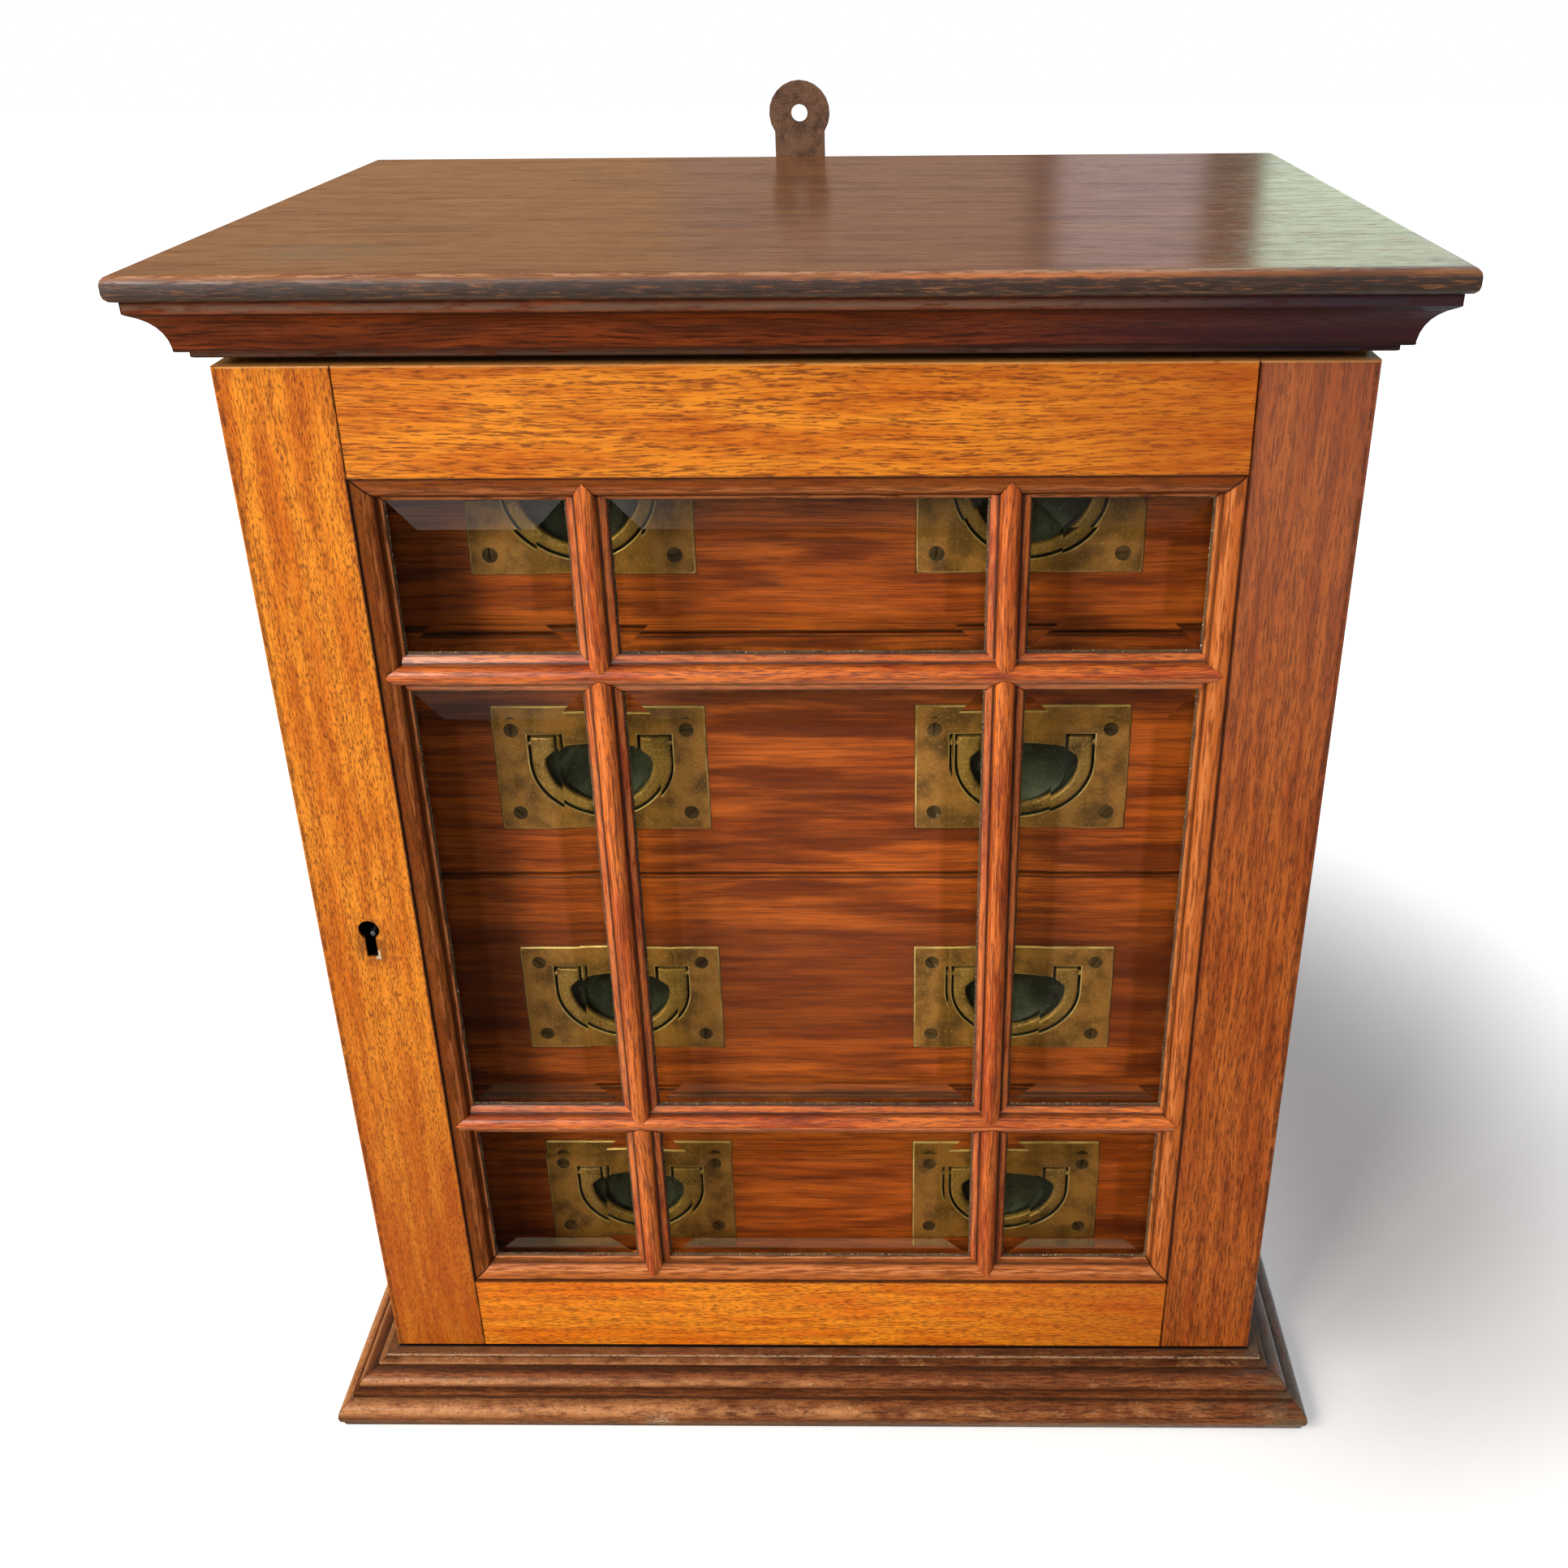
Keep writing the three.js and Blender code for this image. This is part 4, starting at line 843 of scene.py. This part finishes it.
def door_member(name, grain, tones, seed, moulding=MOULDING, fillet=FILLET_WORN_AND_LIT, **looks):
    """Dresses a stile or a rail of the door in its own oak."""
    wear_and_light = frame_wear_and_light(moulding, fillet, UPRIGHT_STRETCH if grain == "z" else LEVEL_STRETCH)
    oak = wood(f"{name}_oak", grain, tones, seed, change=wear_and_light, **looks)
    dress(f"door_{name}", oak, "oak_golden", "door", ease=0.6, least_width=5, least_length=30)


door_member("stile_lock", "z", GOLDEN, 6.1)
door_member("stile_hinge", "z", RIGHT_TONES, 7.3, MOULDING_RIGHT, FILLET_RIGHT, pore=RIGHT_PORE, dash=6,
            dashes=0.65, many=0.02, streak=0.45, thick=0.6, rings=0.4)
door_member("rail_top", "x", GOLDEN, 8.2, dash=7, thick=0.65)
door_member("rail_bottom", "x", LOW_TONES, 9.6, MOULDING_LOW, FILLET_LOW, dash=4, dashes=0.6, many=0.02)

# Glazing bars
# Four slim oak bars with a rounded nose and a fillet on each side, halved where they cross.
# They keep a red polish, streaked dark along the grain, with dirt and painted shade in the
# quirks beside the nose and along the edges, and pale side fillets that are worn and painted
# with highlight.
BAR = (tone(92, 28, 6), tone(180, 70, 16), tone(232, 122, 44))
BAR_HALF = 7.75
upright_x = box_of("glazing_bar_upright_right")[0].x + BAR_HALF
level_zs = {end: box_of(f"glazing_bar_level_{end}")[0].z + BAR_HALF for end in ("upper", "lower")}


def bar_wear_and_light(middle_z=None):
    def change(f, places, body, rough):
        x, y, z = places
        aside = abs(abs(x) - upright_x) if middle_z is None else abs(z - middle_z)
        patch = f.noise(x / 9, y / 3, z / 9, detail=4, rough=0.65)
        # Pale fillets are wear and painted highlight; the dark quirks and edges are dirt and painted shade.
        body = f.coats(
            body,
            (0.6 * aside.near(6.4, 1) * patch.rise(0.42, 0.58), FILLET_WORN_AND_LIT),
            (0.92 * aside.near(4.5, 1.1).most(aside.near(BAR_HALF, 0.8)), DIRT_AND_CREASE_SHADE),
        )
        return body, rough + 0.1 * patch
    return change


for bar, grain, seed, middle_z in (
    ("upright_left", "z", 1.1, None),
    ("upright_right", "z", 2.3, None),
    ("level_upper", "x", 3.5, level_zs["upper"]),
    ("level_lower", "x", 4.7, level_zs["lower"]),
):
    node = f"glazing_bar_{bar}"
    finish = wood(f"{node}_oak", grain, BAR, seed, dash=7, gloss=0.26, wax=0.6, streak=0.65, shine=0.4,
                  change=bar_wear_and_light(middle_z))
    dress(node, finish, "oak_red", "door", ease=0)

# Glass
# Nine panes with a wide ground bevel on the front. The glass is a little green, and dirt
# has gathered along its edges, where a cloth doesn't reach. GLASS_INDEX is below that of real
# glass, so that the bevels move what is behind them no further than in the photograph.
GLASS_TINT = tone(246, 249, 243)
GLASS_DEEP = tone(222, 224, 198)
GLASS_DIRT = tone(186, 190, 156)
ROWS = ("lower", "middle", "upper")
COLUMNS = ("left", "middle", "right")
GLASS_INDEX = 1.33
column_edges = (upright_x - BAR_HALF, upright_x + BAR_HALF, sight_x)
row_edges = [sight_bottom, sight_top]
row_edges[1:1] = [level_zs[end] + side * BAR_HALF for end in ("lower", "upper") for side in (-1, 1)]


def pane_glass():
    f = Finish("bevelled_glass")
    x, y, z = f.millimetres()
    near_edge = abs(abs(x) - column_edges[0])
    for way in [abs(x) - edge for edge in column_edges[1:]] + [z - edge for edge in row_edges]:
        near_edge = near_edge.least(abs(way))
    smear = f.noise(x / 7, y / 7, z / 7, detail=5, rough=0.7)
    tint = f.mix(near_edge.rise(18, 14), GLASS_TINT, GLASS_DEEP)
    clear = f.node("BsdfPrincipled", inputs={
        "Base Color": f.mix(near_edge.rise(5, 0) * smear.rise(0.35, 0.6), tint, GLASS_DIRT),
        "Roughness": 0,
        "IOR": GLASS_INDEX,
        "Transmission Weight": 1,
    })
    lamps = f.node("LightPath", output="Is Shadow Ray")
    through = f.node("BsdfTransparent", inputs={"Color": GLASS_TINT})
    return f.show(f.node("MixShader", inputs={0: lamps, 1: clear, 2: through}))


glass = pane_glass()
for row in ROWS:
    for column in COLUMNS:
        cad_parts[f"glass_{row}_{column}"].material_slots[0].material = glass

# Putty
# Each pane is bedded in putty, of which a thin, uneven line shows in front, and is held
# from behind by a fillet of it, pressed in by hand.
PUTTY = (tone(44, 30, 18), tone(92, 66, 38), tone(206, 190, 158))
PUTTY_STEP = 4
SHOULDER_DEPTH = 8
PANE_BACK = 1
PANE_SLOPE = 2.4 / 17
PANE_EDGE = 1.6
BED_WIDTH = 0.55
BED_SPREAD = 0.55
BED_RISE = 0.55
FILLET_WIDTH = 4.2
FILLET_RISE = 2.1


def old_putty():
    f = Finish("old_putty")
    x, y, z = f.millimetres()
    lump = f.noise(x / 4, y / 4, z / 4, detail=4, rough=0.65)
    speck = f.noise(x / 0.9, y / 0.9, z / 0.9)
    body = f.coats(PUTTY[0], (lump.rise(0.34, 0.6), PUTTY[1]), (0.8 * speck.rise(0.62, 0.7), PUTTY[2]))
    return f.surface(Base_Color=body, Roughness=0.75, Normal=f.bump(lump + speck, 0.15))


def round_the_pane(left, right, low, high):
    """Points every few millimetres round a rectangle, each with its way inwards."""
    corners = ((left, low, 1, 1), (right, low, -1, 1), (right, high, -1, -1), (left, high, 1, -1))
    points = []
    for (x, z, in_x, in_z), (far_x, far_z, _, _) in zip(corners, corners[1:] + corners[:1]):
        points.append((x, z, in_x, in_z))
        level = z == far_z
        count = round(max(abs(far_x - x), abs(far_z - z)) / PUTTY_STEP)
        way = (0, in_z) if level else (in_x, 0)
        for i in range(1, count):
            points.append((x + (far_x - x) * i / count, z + (far_z - z) * i / count, *way))
    return points


def putty_line(bm, rectangle, section):
    """One closed ring of putty, whose section is a list of ways inwards and depths."""
    points = round_the_pane(*rectangle)
    loops = []
    for place, (inwards, depth, loose) in enumerate(section):
        line = []
        for x, z, in_x, in_z in points:
            swell = 1 + loose * waver(x + 40 * place, z) + 0.6 * loose * abs(waver(z, x, 2.3))
            line.append((x + in_x * inwards * swell, depth, z + in_z * inwards * swell))
        loops.append(wire_loop(bm, line))
    bridged(bm, loops + loops[:1])


putty = old_putty()
shoulder_y = door_low.y + SHOULDER_DEPTH
pane_front = shoulder_y + PANE_BACK
pane_rear = pane_front + PANE_EDGE
near_bar, far_bar = column_edges[:2]
sight_columns = ((-sight_x, -far_bar), (-near_bar, near_bar), (far_bar, sight_x))
for row, low_z, high_z in zip(ROWS, row_edges[0::2], row_edges[1::2]):
    for column, (left_x, right_x) in zip(COLUMNS, sight_columns):
        low, high = box_of(f"glass_{row}_{column}")
        glass_y = pane_front - (left_x - low.x + BED_WIDTH) * PANE_SLOPE
        bm = bmesh.new()
        putty_line(bm, (left_x, right_x, low_z, high_z), [
            (-0.6, shoulder_y + 0.12, 0),
            (-0.02, shoulder_y - BED_RISE, 0),
            (0.5 * BED_WIDTH, shoulder_y - 0.35 * BED_RISE, BED_SPREAD),
            (BED_WIDTH, glass_y + 0.1, BED_SPREAD),
        ])
        putty_line(bm, (low.x, high.x, low.z, high.z), [
            (-0.3, pane_rear + 0.02, 0),
            (-0.3, pane_rear + FILLET_RISE, 0),
            (0.5 * FILLET_WIDTH, pane_rear + 0.6 * FILLET_RISE, 0.12),
            (FILLET_WIDTH, pane_rear + 0.02, 0.1),
        ])
        face_outwards(bm)
        bmesh.ops.scale(bm, vec=(MM, MM, MM), verts=bm.verts)
        new_piece(f"putty_{row}_{column}", bm, [putty], "door")

# Lock
# A brass cupboard lock on the back of the left stile, held by four screws, with a steel
# pin in the middle of its keyhole and a bolt that shoots into the case side.
LOCK_SCREW = 2
LOCK_SCREW_INSET = (4.2, 5)
KEY_PIN = (-184.9, 262.4)
KEY_PIN_RADIUS = 1.2
KEY_PIN_ENDS = (-138, -117.6)


def add_pin(bm, radius, length, sides, place):
    bmesh.ops.create_cone(bm, cap_ends=True, segments=sides, radius1=radius, radius2=radius,
                          depth=length, matrix=place)


lock_brass = old_brass("lock_brass", 11)
dress("lock_bolt", lock_brass, "brass", "lock_bolt", ease=0.3, least_width=2)
low, high = box_of("lock_case")
spots = [
    (x, high.y - HEAD_SUNK, z)
    for x in (low.x + LOCK_SCREW_INSET[0], high.x - LOCK_SCREW_INSET[0])
    for z in (low.z + LOCK_SCREW_INSET[1], high.z - LOCK_SCREW_INSET[1])
]
screwed("lock_case", "lock_case_screws", spots, 1, LOCK_SCREW, lock_brass, "door", "brass", ease=0)
steel = Finish("key_pin_steel").surface(Base_Color=tone(150, 158, 172), Metallic=0.8, Roughness=0.3)
bm = bmesh.new()
seat = Matrix.Translation(Vector((KEY_PIN[0], sum(KEY_PIN_ENDS) / 2, KEY_PIN[1])))
seat = Matrix.Scale(MM, 4) @ seat @ Matrix.Rotation(math.pi / 2, 4, "X")
add_pin(bm, KEY_PIN_RADIUS, KEY_PIN_ENDS[1] - KEY_PIN_ENDS[0], 24, seat)
rims = [edge for edge in bm.edges if len(edge.link_faces[0].verts) != len(edge.link_faces[1].verts)]
bmesh.ops.bevel(bm, geom=rims, offset=0.4 * MM, segments=3, profile=0.5, affect="EDGES", material=-1)
new_piece("key_pin", bm, [steel], "door", "iron")

# Drawers
# Four equal drawers. Each front is red-brown, with its grain along the drawer, and the
# sides, back and bottom behind it are of paler, unpolished wood.
DRAWER = (tone(84, 26, 8), tone(162, 70, 20), tone(206, 100, 32))
DRAWER_PORE = tone(48, 14, 6)
DRAWER_MIDDLE_SHADE = tone(88, 36, 22)
BOX_WALL = 8
BOX_BOTTOM = 5
TONGUE = 4.4
# Painted shade along the middle of the third drawer front.
MIDDLE_SHADE_SHARES = (0, 0, 0.55, 0)


def drawer_box(node, number):
    """A drawer box whose sides run one way of the grain, and its back and bottom the other."""
    low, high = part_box(node)
    inner_x = high.x - (TONGUE + BOX_WALL) * MM
    inner_y = high.y - BOX_WALL * MM
    board_z = low.z + BOX_BOTTOM * MM
    bm = merged_copy(node)
    cuts = (((inner_x, 0, 0), (1, 0, 0)), ((-inner_x, 0, 0), (1, 0, 0)),
            ((0, inner_y, 0), (0, 1, 0)), ((0, 0, board_z), (0, 0, 1)))
    for place, facing in cuts:
        bmesh.ops.bisect_plane(bm, geom=whole(bm), plane_co=place, plane_no=facing)
    for face in bm.faces:
        middle = face.calc_center_median()
        side = abs(middle.x) > inner_x - 1e-6 and middle.z > board_z + 1e-6
        face.material_index = 0 if side else 1
    boards = [
        wood(f"{node}_{part}_wood", grain, PALE, step * number, dashes=0.4, gloss=0.6, wax=0)
        for part, grain, step in (("side", "y", 1.3), ("board", "x", 2.1))
    ]
    return new_piece(f"{node}_dressed", bm, boards, f"drawer_{number}", "pale_wood", [node])


def drawer_edges(node, middle_shade):
    """Dirt on the top and bottom edges of a drawer front, and painted shade along its middle."""
    low_z, high_z = [corner.z for corner in box_of(node)]

    def change(f, places, body, rough):
        x, y, z = places
        shade = f.noise(x / 90, y / 20, z / 11, detail=4)
        edges = z.near(low_z + 0.7, 0.9).most(z.near(high_z - 0.7, 0.9))
        body = f.coats(
            body,
            (0.7 * shade.rise(0.48, 0.64), DRAWER[0]),
            (middle_shade * z.near((low_z + high_z) / 2, 48).rise(0, 0.5), DRAWER_MIDDLE_SHADE),
            (0.85 * edges, DIRT_AND_CREASE_SHADE),
        )
        return body, rough
    return change


for number in range(1, 5):
    node = f"drawer_{number}_front"
    front = wood(f"{node}_oak", "x", DRAWER, 2.7 * number, DRAWER_PORE, dash=20, dashes=0.4, streak=0.38,
                 coarse=1.1, ring_width=6, gloss=0.36, wax=0, shine=0.3,
                 change=drawer_edges(node, MIDDLE_SHADE_SHARES[number - 1]))
    dress(node, front, "oak_red", f"drawer_{number}", ease=0.8, least_width=5, least_length=100)
    drawer_box(f"drawer_{number}_box", number)

# Flush handles
# Each is a cast brass plate with a sunk pan and a deeper finger cup, let flush into the
# drawer front and held by four countersunk screws. Its bail swings on two stub pins.
PLATE_BEVEL = 0.7
PLATE_CORNER = 0.8
PLATE_THICKNESS = 2
PAN_DEPTH = 6.5
PAN_WALL = 3
CUP_HALF = (21.5, 17)
CUP_TOP = 3
CUP_BOTTOM = 11
CUP_CENTRE_UP = -3
TAB_GAP = 1.1
TAB_UP = 11
TAB_RISE = 2
BAIL_HALF = 30
BAIL_THICKNESS = 3.6
BAIL_SINK = 0.2
BAIL_GAP = 0.9
HEADROOM = 4.5
PIVOT_UP = 13
EAR_UP = 3
EAR_WIDTH = 10.5
EAR_LENGTH = 6.5
SHOULDER_UP = 4
BAIL_DROP = 25.6
LEG_WIDTH = 5.8
GRIP_WIDTH = 5
PIN_RADIUS = 1.3
PIN_LENGTH = 1.8
SCREW_INSET = 8.2
SCREW_RADIUS = 3
SCREW_SUNK = 0.15
COUNTERSINK = 3.2
COUNTERSINK_SIDES = 24
SINK_FLOOR = 0.4
CUP_SIDES = 48
CUP_STEPS = 10
ARC_STEPS = 44


def arc(up, radii, first, last, steps=ARC_STEPS):
    """Points round part of an ellipse centred on the upright axis, by angles in degrees."""
    turns = [math.radians(first + (last - first) * i / steps) for i in range(steps + 1)]
    return [(radii[0] * math.cos(angle), up + radii[1] * math.sin(angle)) for angle in turns]


def oval(up, radii, count):
    """Points all the way round such an ellipse."""
    return arc(up, radii, 0, 360 - 360 / count, count - 1)


def round_the_bail(grow, tab=()):
    """A D on its back that clears the bail, with the points of a tab in its upper side."""
    half = BAIL_HALF + BAIL_GAP + grow
    top = PIVOT_UP + HEADROOM + grow
    bowl = arc(SHOULDER_UP, (half, BAIL_DROP + BAIL_GAP + grow), 180, 360)
    return bowl + [(half, top), *tab, (-half, top)]


def recess_line(grow):
    """The line of the bail's recess, whose tab stands between the bail's ears."""
    tab = BAIL_HALF - EAR_WIDTH - TAB_GAP - grow
    top = PIVOT_UP + HEADROOM + grow
    tab_edge = arc(TAB_UP + grow, (tab, TAB_RISE), 0, 180, 16)
    return round_the_bail(grow, [(tab, top), *tab_edge, (-tab, top)])


def plate_corners(half_x, half_z, inset):
    return [(i * (half_x - inset), j * (half_z - inset)) for i in (-1, 1) for j in (-1, 1)]


def plate_line(half_x, half_z):
    corners = plate_corners(half_x, half_z, PLATE_CORNER)
    line = []
    for number, start in ((3, 0), (1, 90), (0, 180), (2, 270)):
        x, z = corners[number]
        round_off = arc(0, (PLATE_CORNER, PLATE_CORNER), start, start + 90, 4)
        line += [(x + out_x, z + out_z) for out_x, out_z in round_off]
    return line


def level_loop(bm, line, depth):
    return wire_loop(bm, [(x, depth, z) for x, z in line])


PLAIN, WORN, DIRTY = 0, 1, 2


def plate_shape(half_x, half_z, rear):
    """A handle plate round its middle: y is the depth behind its front face."""
    bm = bmesh.new()
    outside = [
        level_loop(bm, plate_line(half_x - inwards, half_z - inwards), depth)
        for inwards, depth in ((PLATE_BEVEL, 0), (0, 0.5), (0, PLATE_THICKNESS))
    ]
    recess = [
        level_loop(bm, recess_line(grow), depth)
        for grow, depth in ((0.55, 0), (0.1, 0.25), (0, 0.5), (0, PAN_DEPTH - 0.3), (-0.25, PAN_DEPTH))
    ]
    bridged(bm, outside[:2], WORN)
    bridged(bm, outside[1:], PLAIN)
    bridged(bm, recess[:3], WORN)
    bridged(bm, recess[2:], DIRTY)
    front = [outside[0], recess[0]]
    for x, z in plate_corners(half_x, half_z, SCREW_INSET):
        sink = []
        for radius, depth in ((COUNTERSINK, 0), (COUNTERSINK / 2, PLATE_THICKNESS - SINK_FLOOR)):
            ring = oval(0, (radius, radius), COUNTERSINK_SIDES)
            sink.append(level_loop(bm, [(x + out_x, z + out_z) for out_x, out_z in ring], depth))
        bridged(bm, sink, DIRTY)
        filled(bm, sink[1:], DIRTY)
        front.append(sink[0])
    filled(bm, front, PLAIN)
    share = (PAN_DEPTH - CUP_TOP) / (CUP_BOTTOM - CUP_TOP)
    cup = []
    for step in range(CUP_STEPS):
        angle = math.asin(share) + (math.pi / 2 - math.asin(share)) * step / CUP_STEPS
        radii = (CUP_HALF[0] * math.cos(angle), CUP_HALF[1] * math.cos(angle))
        depth = CUP_TOP + (CUP_BOTTOM - CUP_TOP) * math.sin(angle)
        cup.append(level_loop(bm, oval(CUP_CENTRE_UP, radii, CUP_SIDES), depth))
    filled(bm, [recess[-1], cup[0]], DIRTY)
    bridged(bm, cup, DIRTY)
    filled(bm, cup[-1:], DIRTY)
    pan = [level_loop(bm, round_the_bail(PAN_WALL), depth) for depth in (PLATE_THICKNESS, rear)]
    filled(bm, [outside[-1], pan[0]])
    bridged(bm, pan)
    filled(bm, pan[1:])
    face_outwards(bm)
    return bm


def bail_shape():
    """A bail round the middle of its plate, as sections that follow its line from ear to ear.

    A section is its outer point, its inner point and its share of the full thickness.
    """
    bm = bmesh.new()
    outer = arc(SHOULDER_UP, (BAIL_HALF, BAIL_DROP), 180, 360)
    inner = arc(SHOULDER_UP, (BAIL_HALF - LEG_WIDTH, BAIL_DROP - GRIP_WIDTH), 180, 360)
    middle_y = BAIL_SINK + BAIL_THICKNESS / 2
    ear_in = BAIL_HALF - EAR_WIDTH
    ear_top = PIVOT_UP + EAR_UP
    ear_low = PIVOT_UP - EAR_LENGTH / 2
    leg_in = BAIL_HALF - LEG_WIDTH
    ear = [
        ((-BAIL_HALF + 0.7, ear_top), (-ear_in - 0.7, ear_top), 0.62),
        ((-BAIL_HALF + 0.2, ear_top - 0.25), (-ear_in - 0.2, ear_top - 0.25), 0.88),
        ((-BAIL_HALF, ear_top - 0.8), (-ear_in, ear_top - 0.8), 1),
        ((-BAIL_HALF, ear_low), (-ear_in, ear_low), 1),
        ((-BAIL_HALF, ear_low - 1.6), (-ear_in - 1.6, ear_low - 1.2), 1),
        ((-BAIL_HALF, ear_low - 3.6), (-leg_in + 0.5, ear_low - 3.4), 1),
    ]
    far_ear = [((-a[0], a[1]), (-b[0], b[1]), share) for a, b, share in reversed(ear)]
    sections = ear + [(a, b, 1) for a, b in zip(outer, inner)] + far_ear
    loops = []
    for (ax, az), (bx, bz), share in sections:
        ring = bmesh.ops.create_circle(bm, segments=20, radius=1)["verts"]
        for vert in ring:
            vert.co.x = math.copysign(abs(vert.co.x) ** 0.6, vert.co.x)
            vert.co.y = math.copysign(abs(vert.co.y) ** 0.6, vert.co.y)
        across = Vector(((ax - bx) / 2, 0, (az - bz) / 2))
        depth = Vector((0, share * BAIL_THICKNESS / 2, 0))
        place = Matrix((across, depth, across.cross(depth).normalized())).transposed().to_4x4()
        place.translation = Vector(((ax + bx) / 2, middle_y, (az + bz) / 2))
        bmesh.ops.transform(bm, matrix=place, verts=ring)
        loops.append(list(dict.fromkeys(edge for vert in ring for edge in vert.link_edges)))
    bridged(bm, loops)
    bmesh.ops.holes_fill(bm, edges=loops[0] + loops[-1])
    for side in (-1, 1):
        middle = side * (BAIL_HALF + PIN_LENGTH / 2 - 0.5)
        pin = Matrix.Translation((middle, middle_y, PIVOT_UP)) @ Matrix.Rotation(math.pi / 2, 4, "Y")
        add_pin(bm, PIN_RADIUS, PIN_LENGTH + 1, 20, pin)
    face_outwards(bm)
    return bm


WORN_BRASS = (tone(150, 116, 66), tone(208, 172, 108), tone(238, 212, 156))
DIRTY_BRASS = (tone(26, 26, 20), tone(58, 62, 52), tone(112, 116, 98))
SCREW_BRASS = (tone(60, 44, 24), tone(108, 78, 42), tone(168, 130, 72))
BAIL_BRASS = (tone(100, 74, 36), tone(170, 128, 66), tone(226, 184, 116))
plate_finishes = [
    old_brass("plate_brass", 3),
    old_brass("plate_edge_brass", 4, gloss=0.3, tones=WORN_BRASS),
    old_brass("plate_pan_brass", 6, gloss=0.5, metal=0.1, tones=DIRTY_BRASS, shine=0.4),
]
bail_brass = old_brass("bail_brass", 5, gloss=0.32, clean=0.05, metal=0.35, tones=BAIL_BRASS)
screw_brass = old_brass("screw_brass", 9, clean=-0.08, tones=SCREW_BRASS)
for number in range(1, 5):
    drawer = f"drawer_{number}"
    for side in ("left", "right"):
        node = f"{drawer}_plate_{side}"
        low, high = box_of(node)
        half_x, half_z = (high.x - low.x) / 2, (high.z - low.z) / 2
        middle = Vector((low.x + half_x, low.y, low.z + half_z))
        plate = plate_shape(half_x, half_z, high.y - low.y)
        bail = bail_shape()
        for bm in (plate, bail):
            bmesh.ops.transform(bm, matrix=Matrix.Scale(MM, 4) @ Matrix.Translation(middle), verts=bm.verts)
        new_piece(f"{node}_dressed", plate, plate_finishes, drawer, "brass", [node], sharp=30)
        body = f"{drawer}_bail_{side}"
        new_piece(f"{body}_dressed", bail, [bail_brass], body, "brass", [body], sharp=50)
        spots = [
            (middle.x + x, low.y + SCREW_SUNK, middle.z + z)
            for x, z in plate_corners(half_x, half_z, SCREW_INSET)
        ]
        screw_heads(f"{node}_screws", spots, (0, -1, 0), SCREW_RADIUS, screw_brass, drawer, "brass")
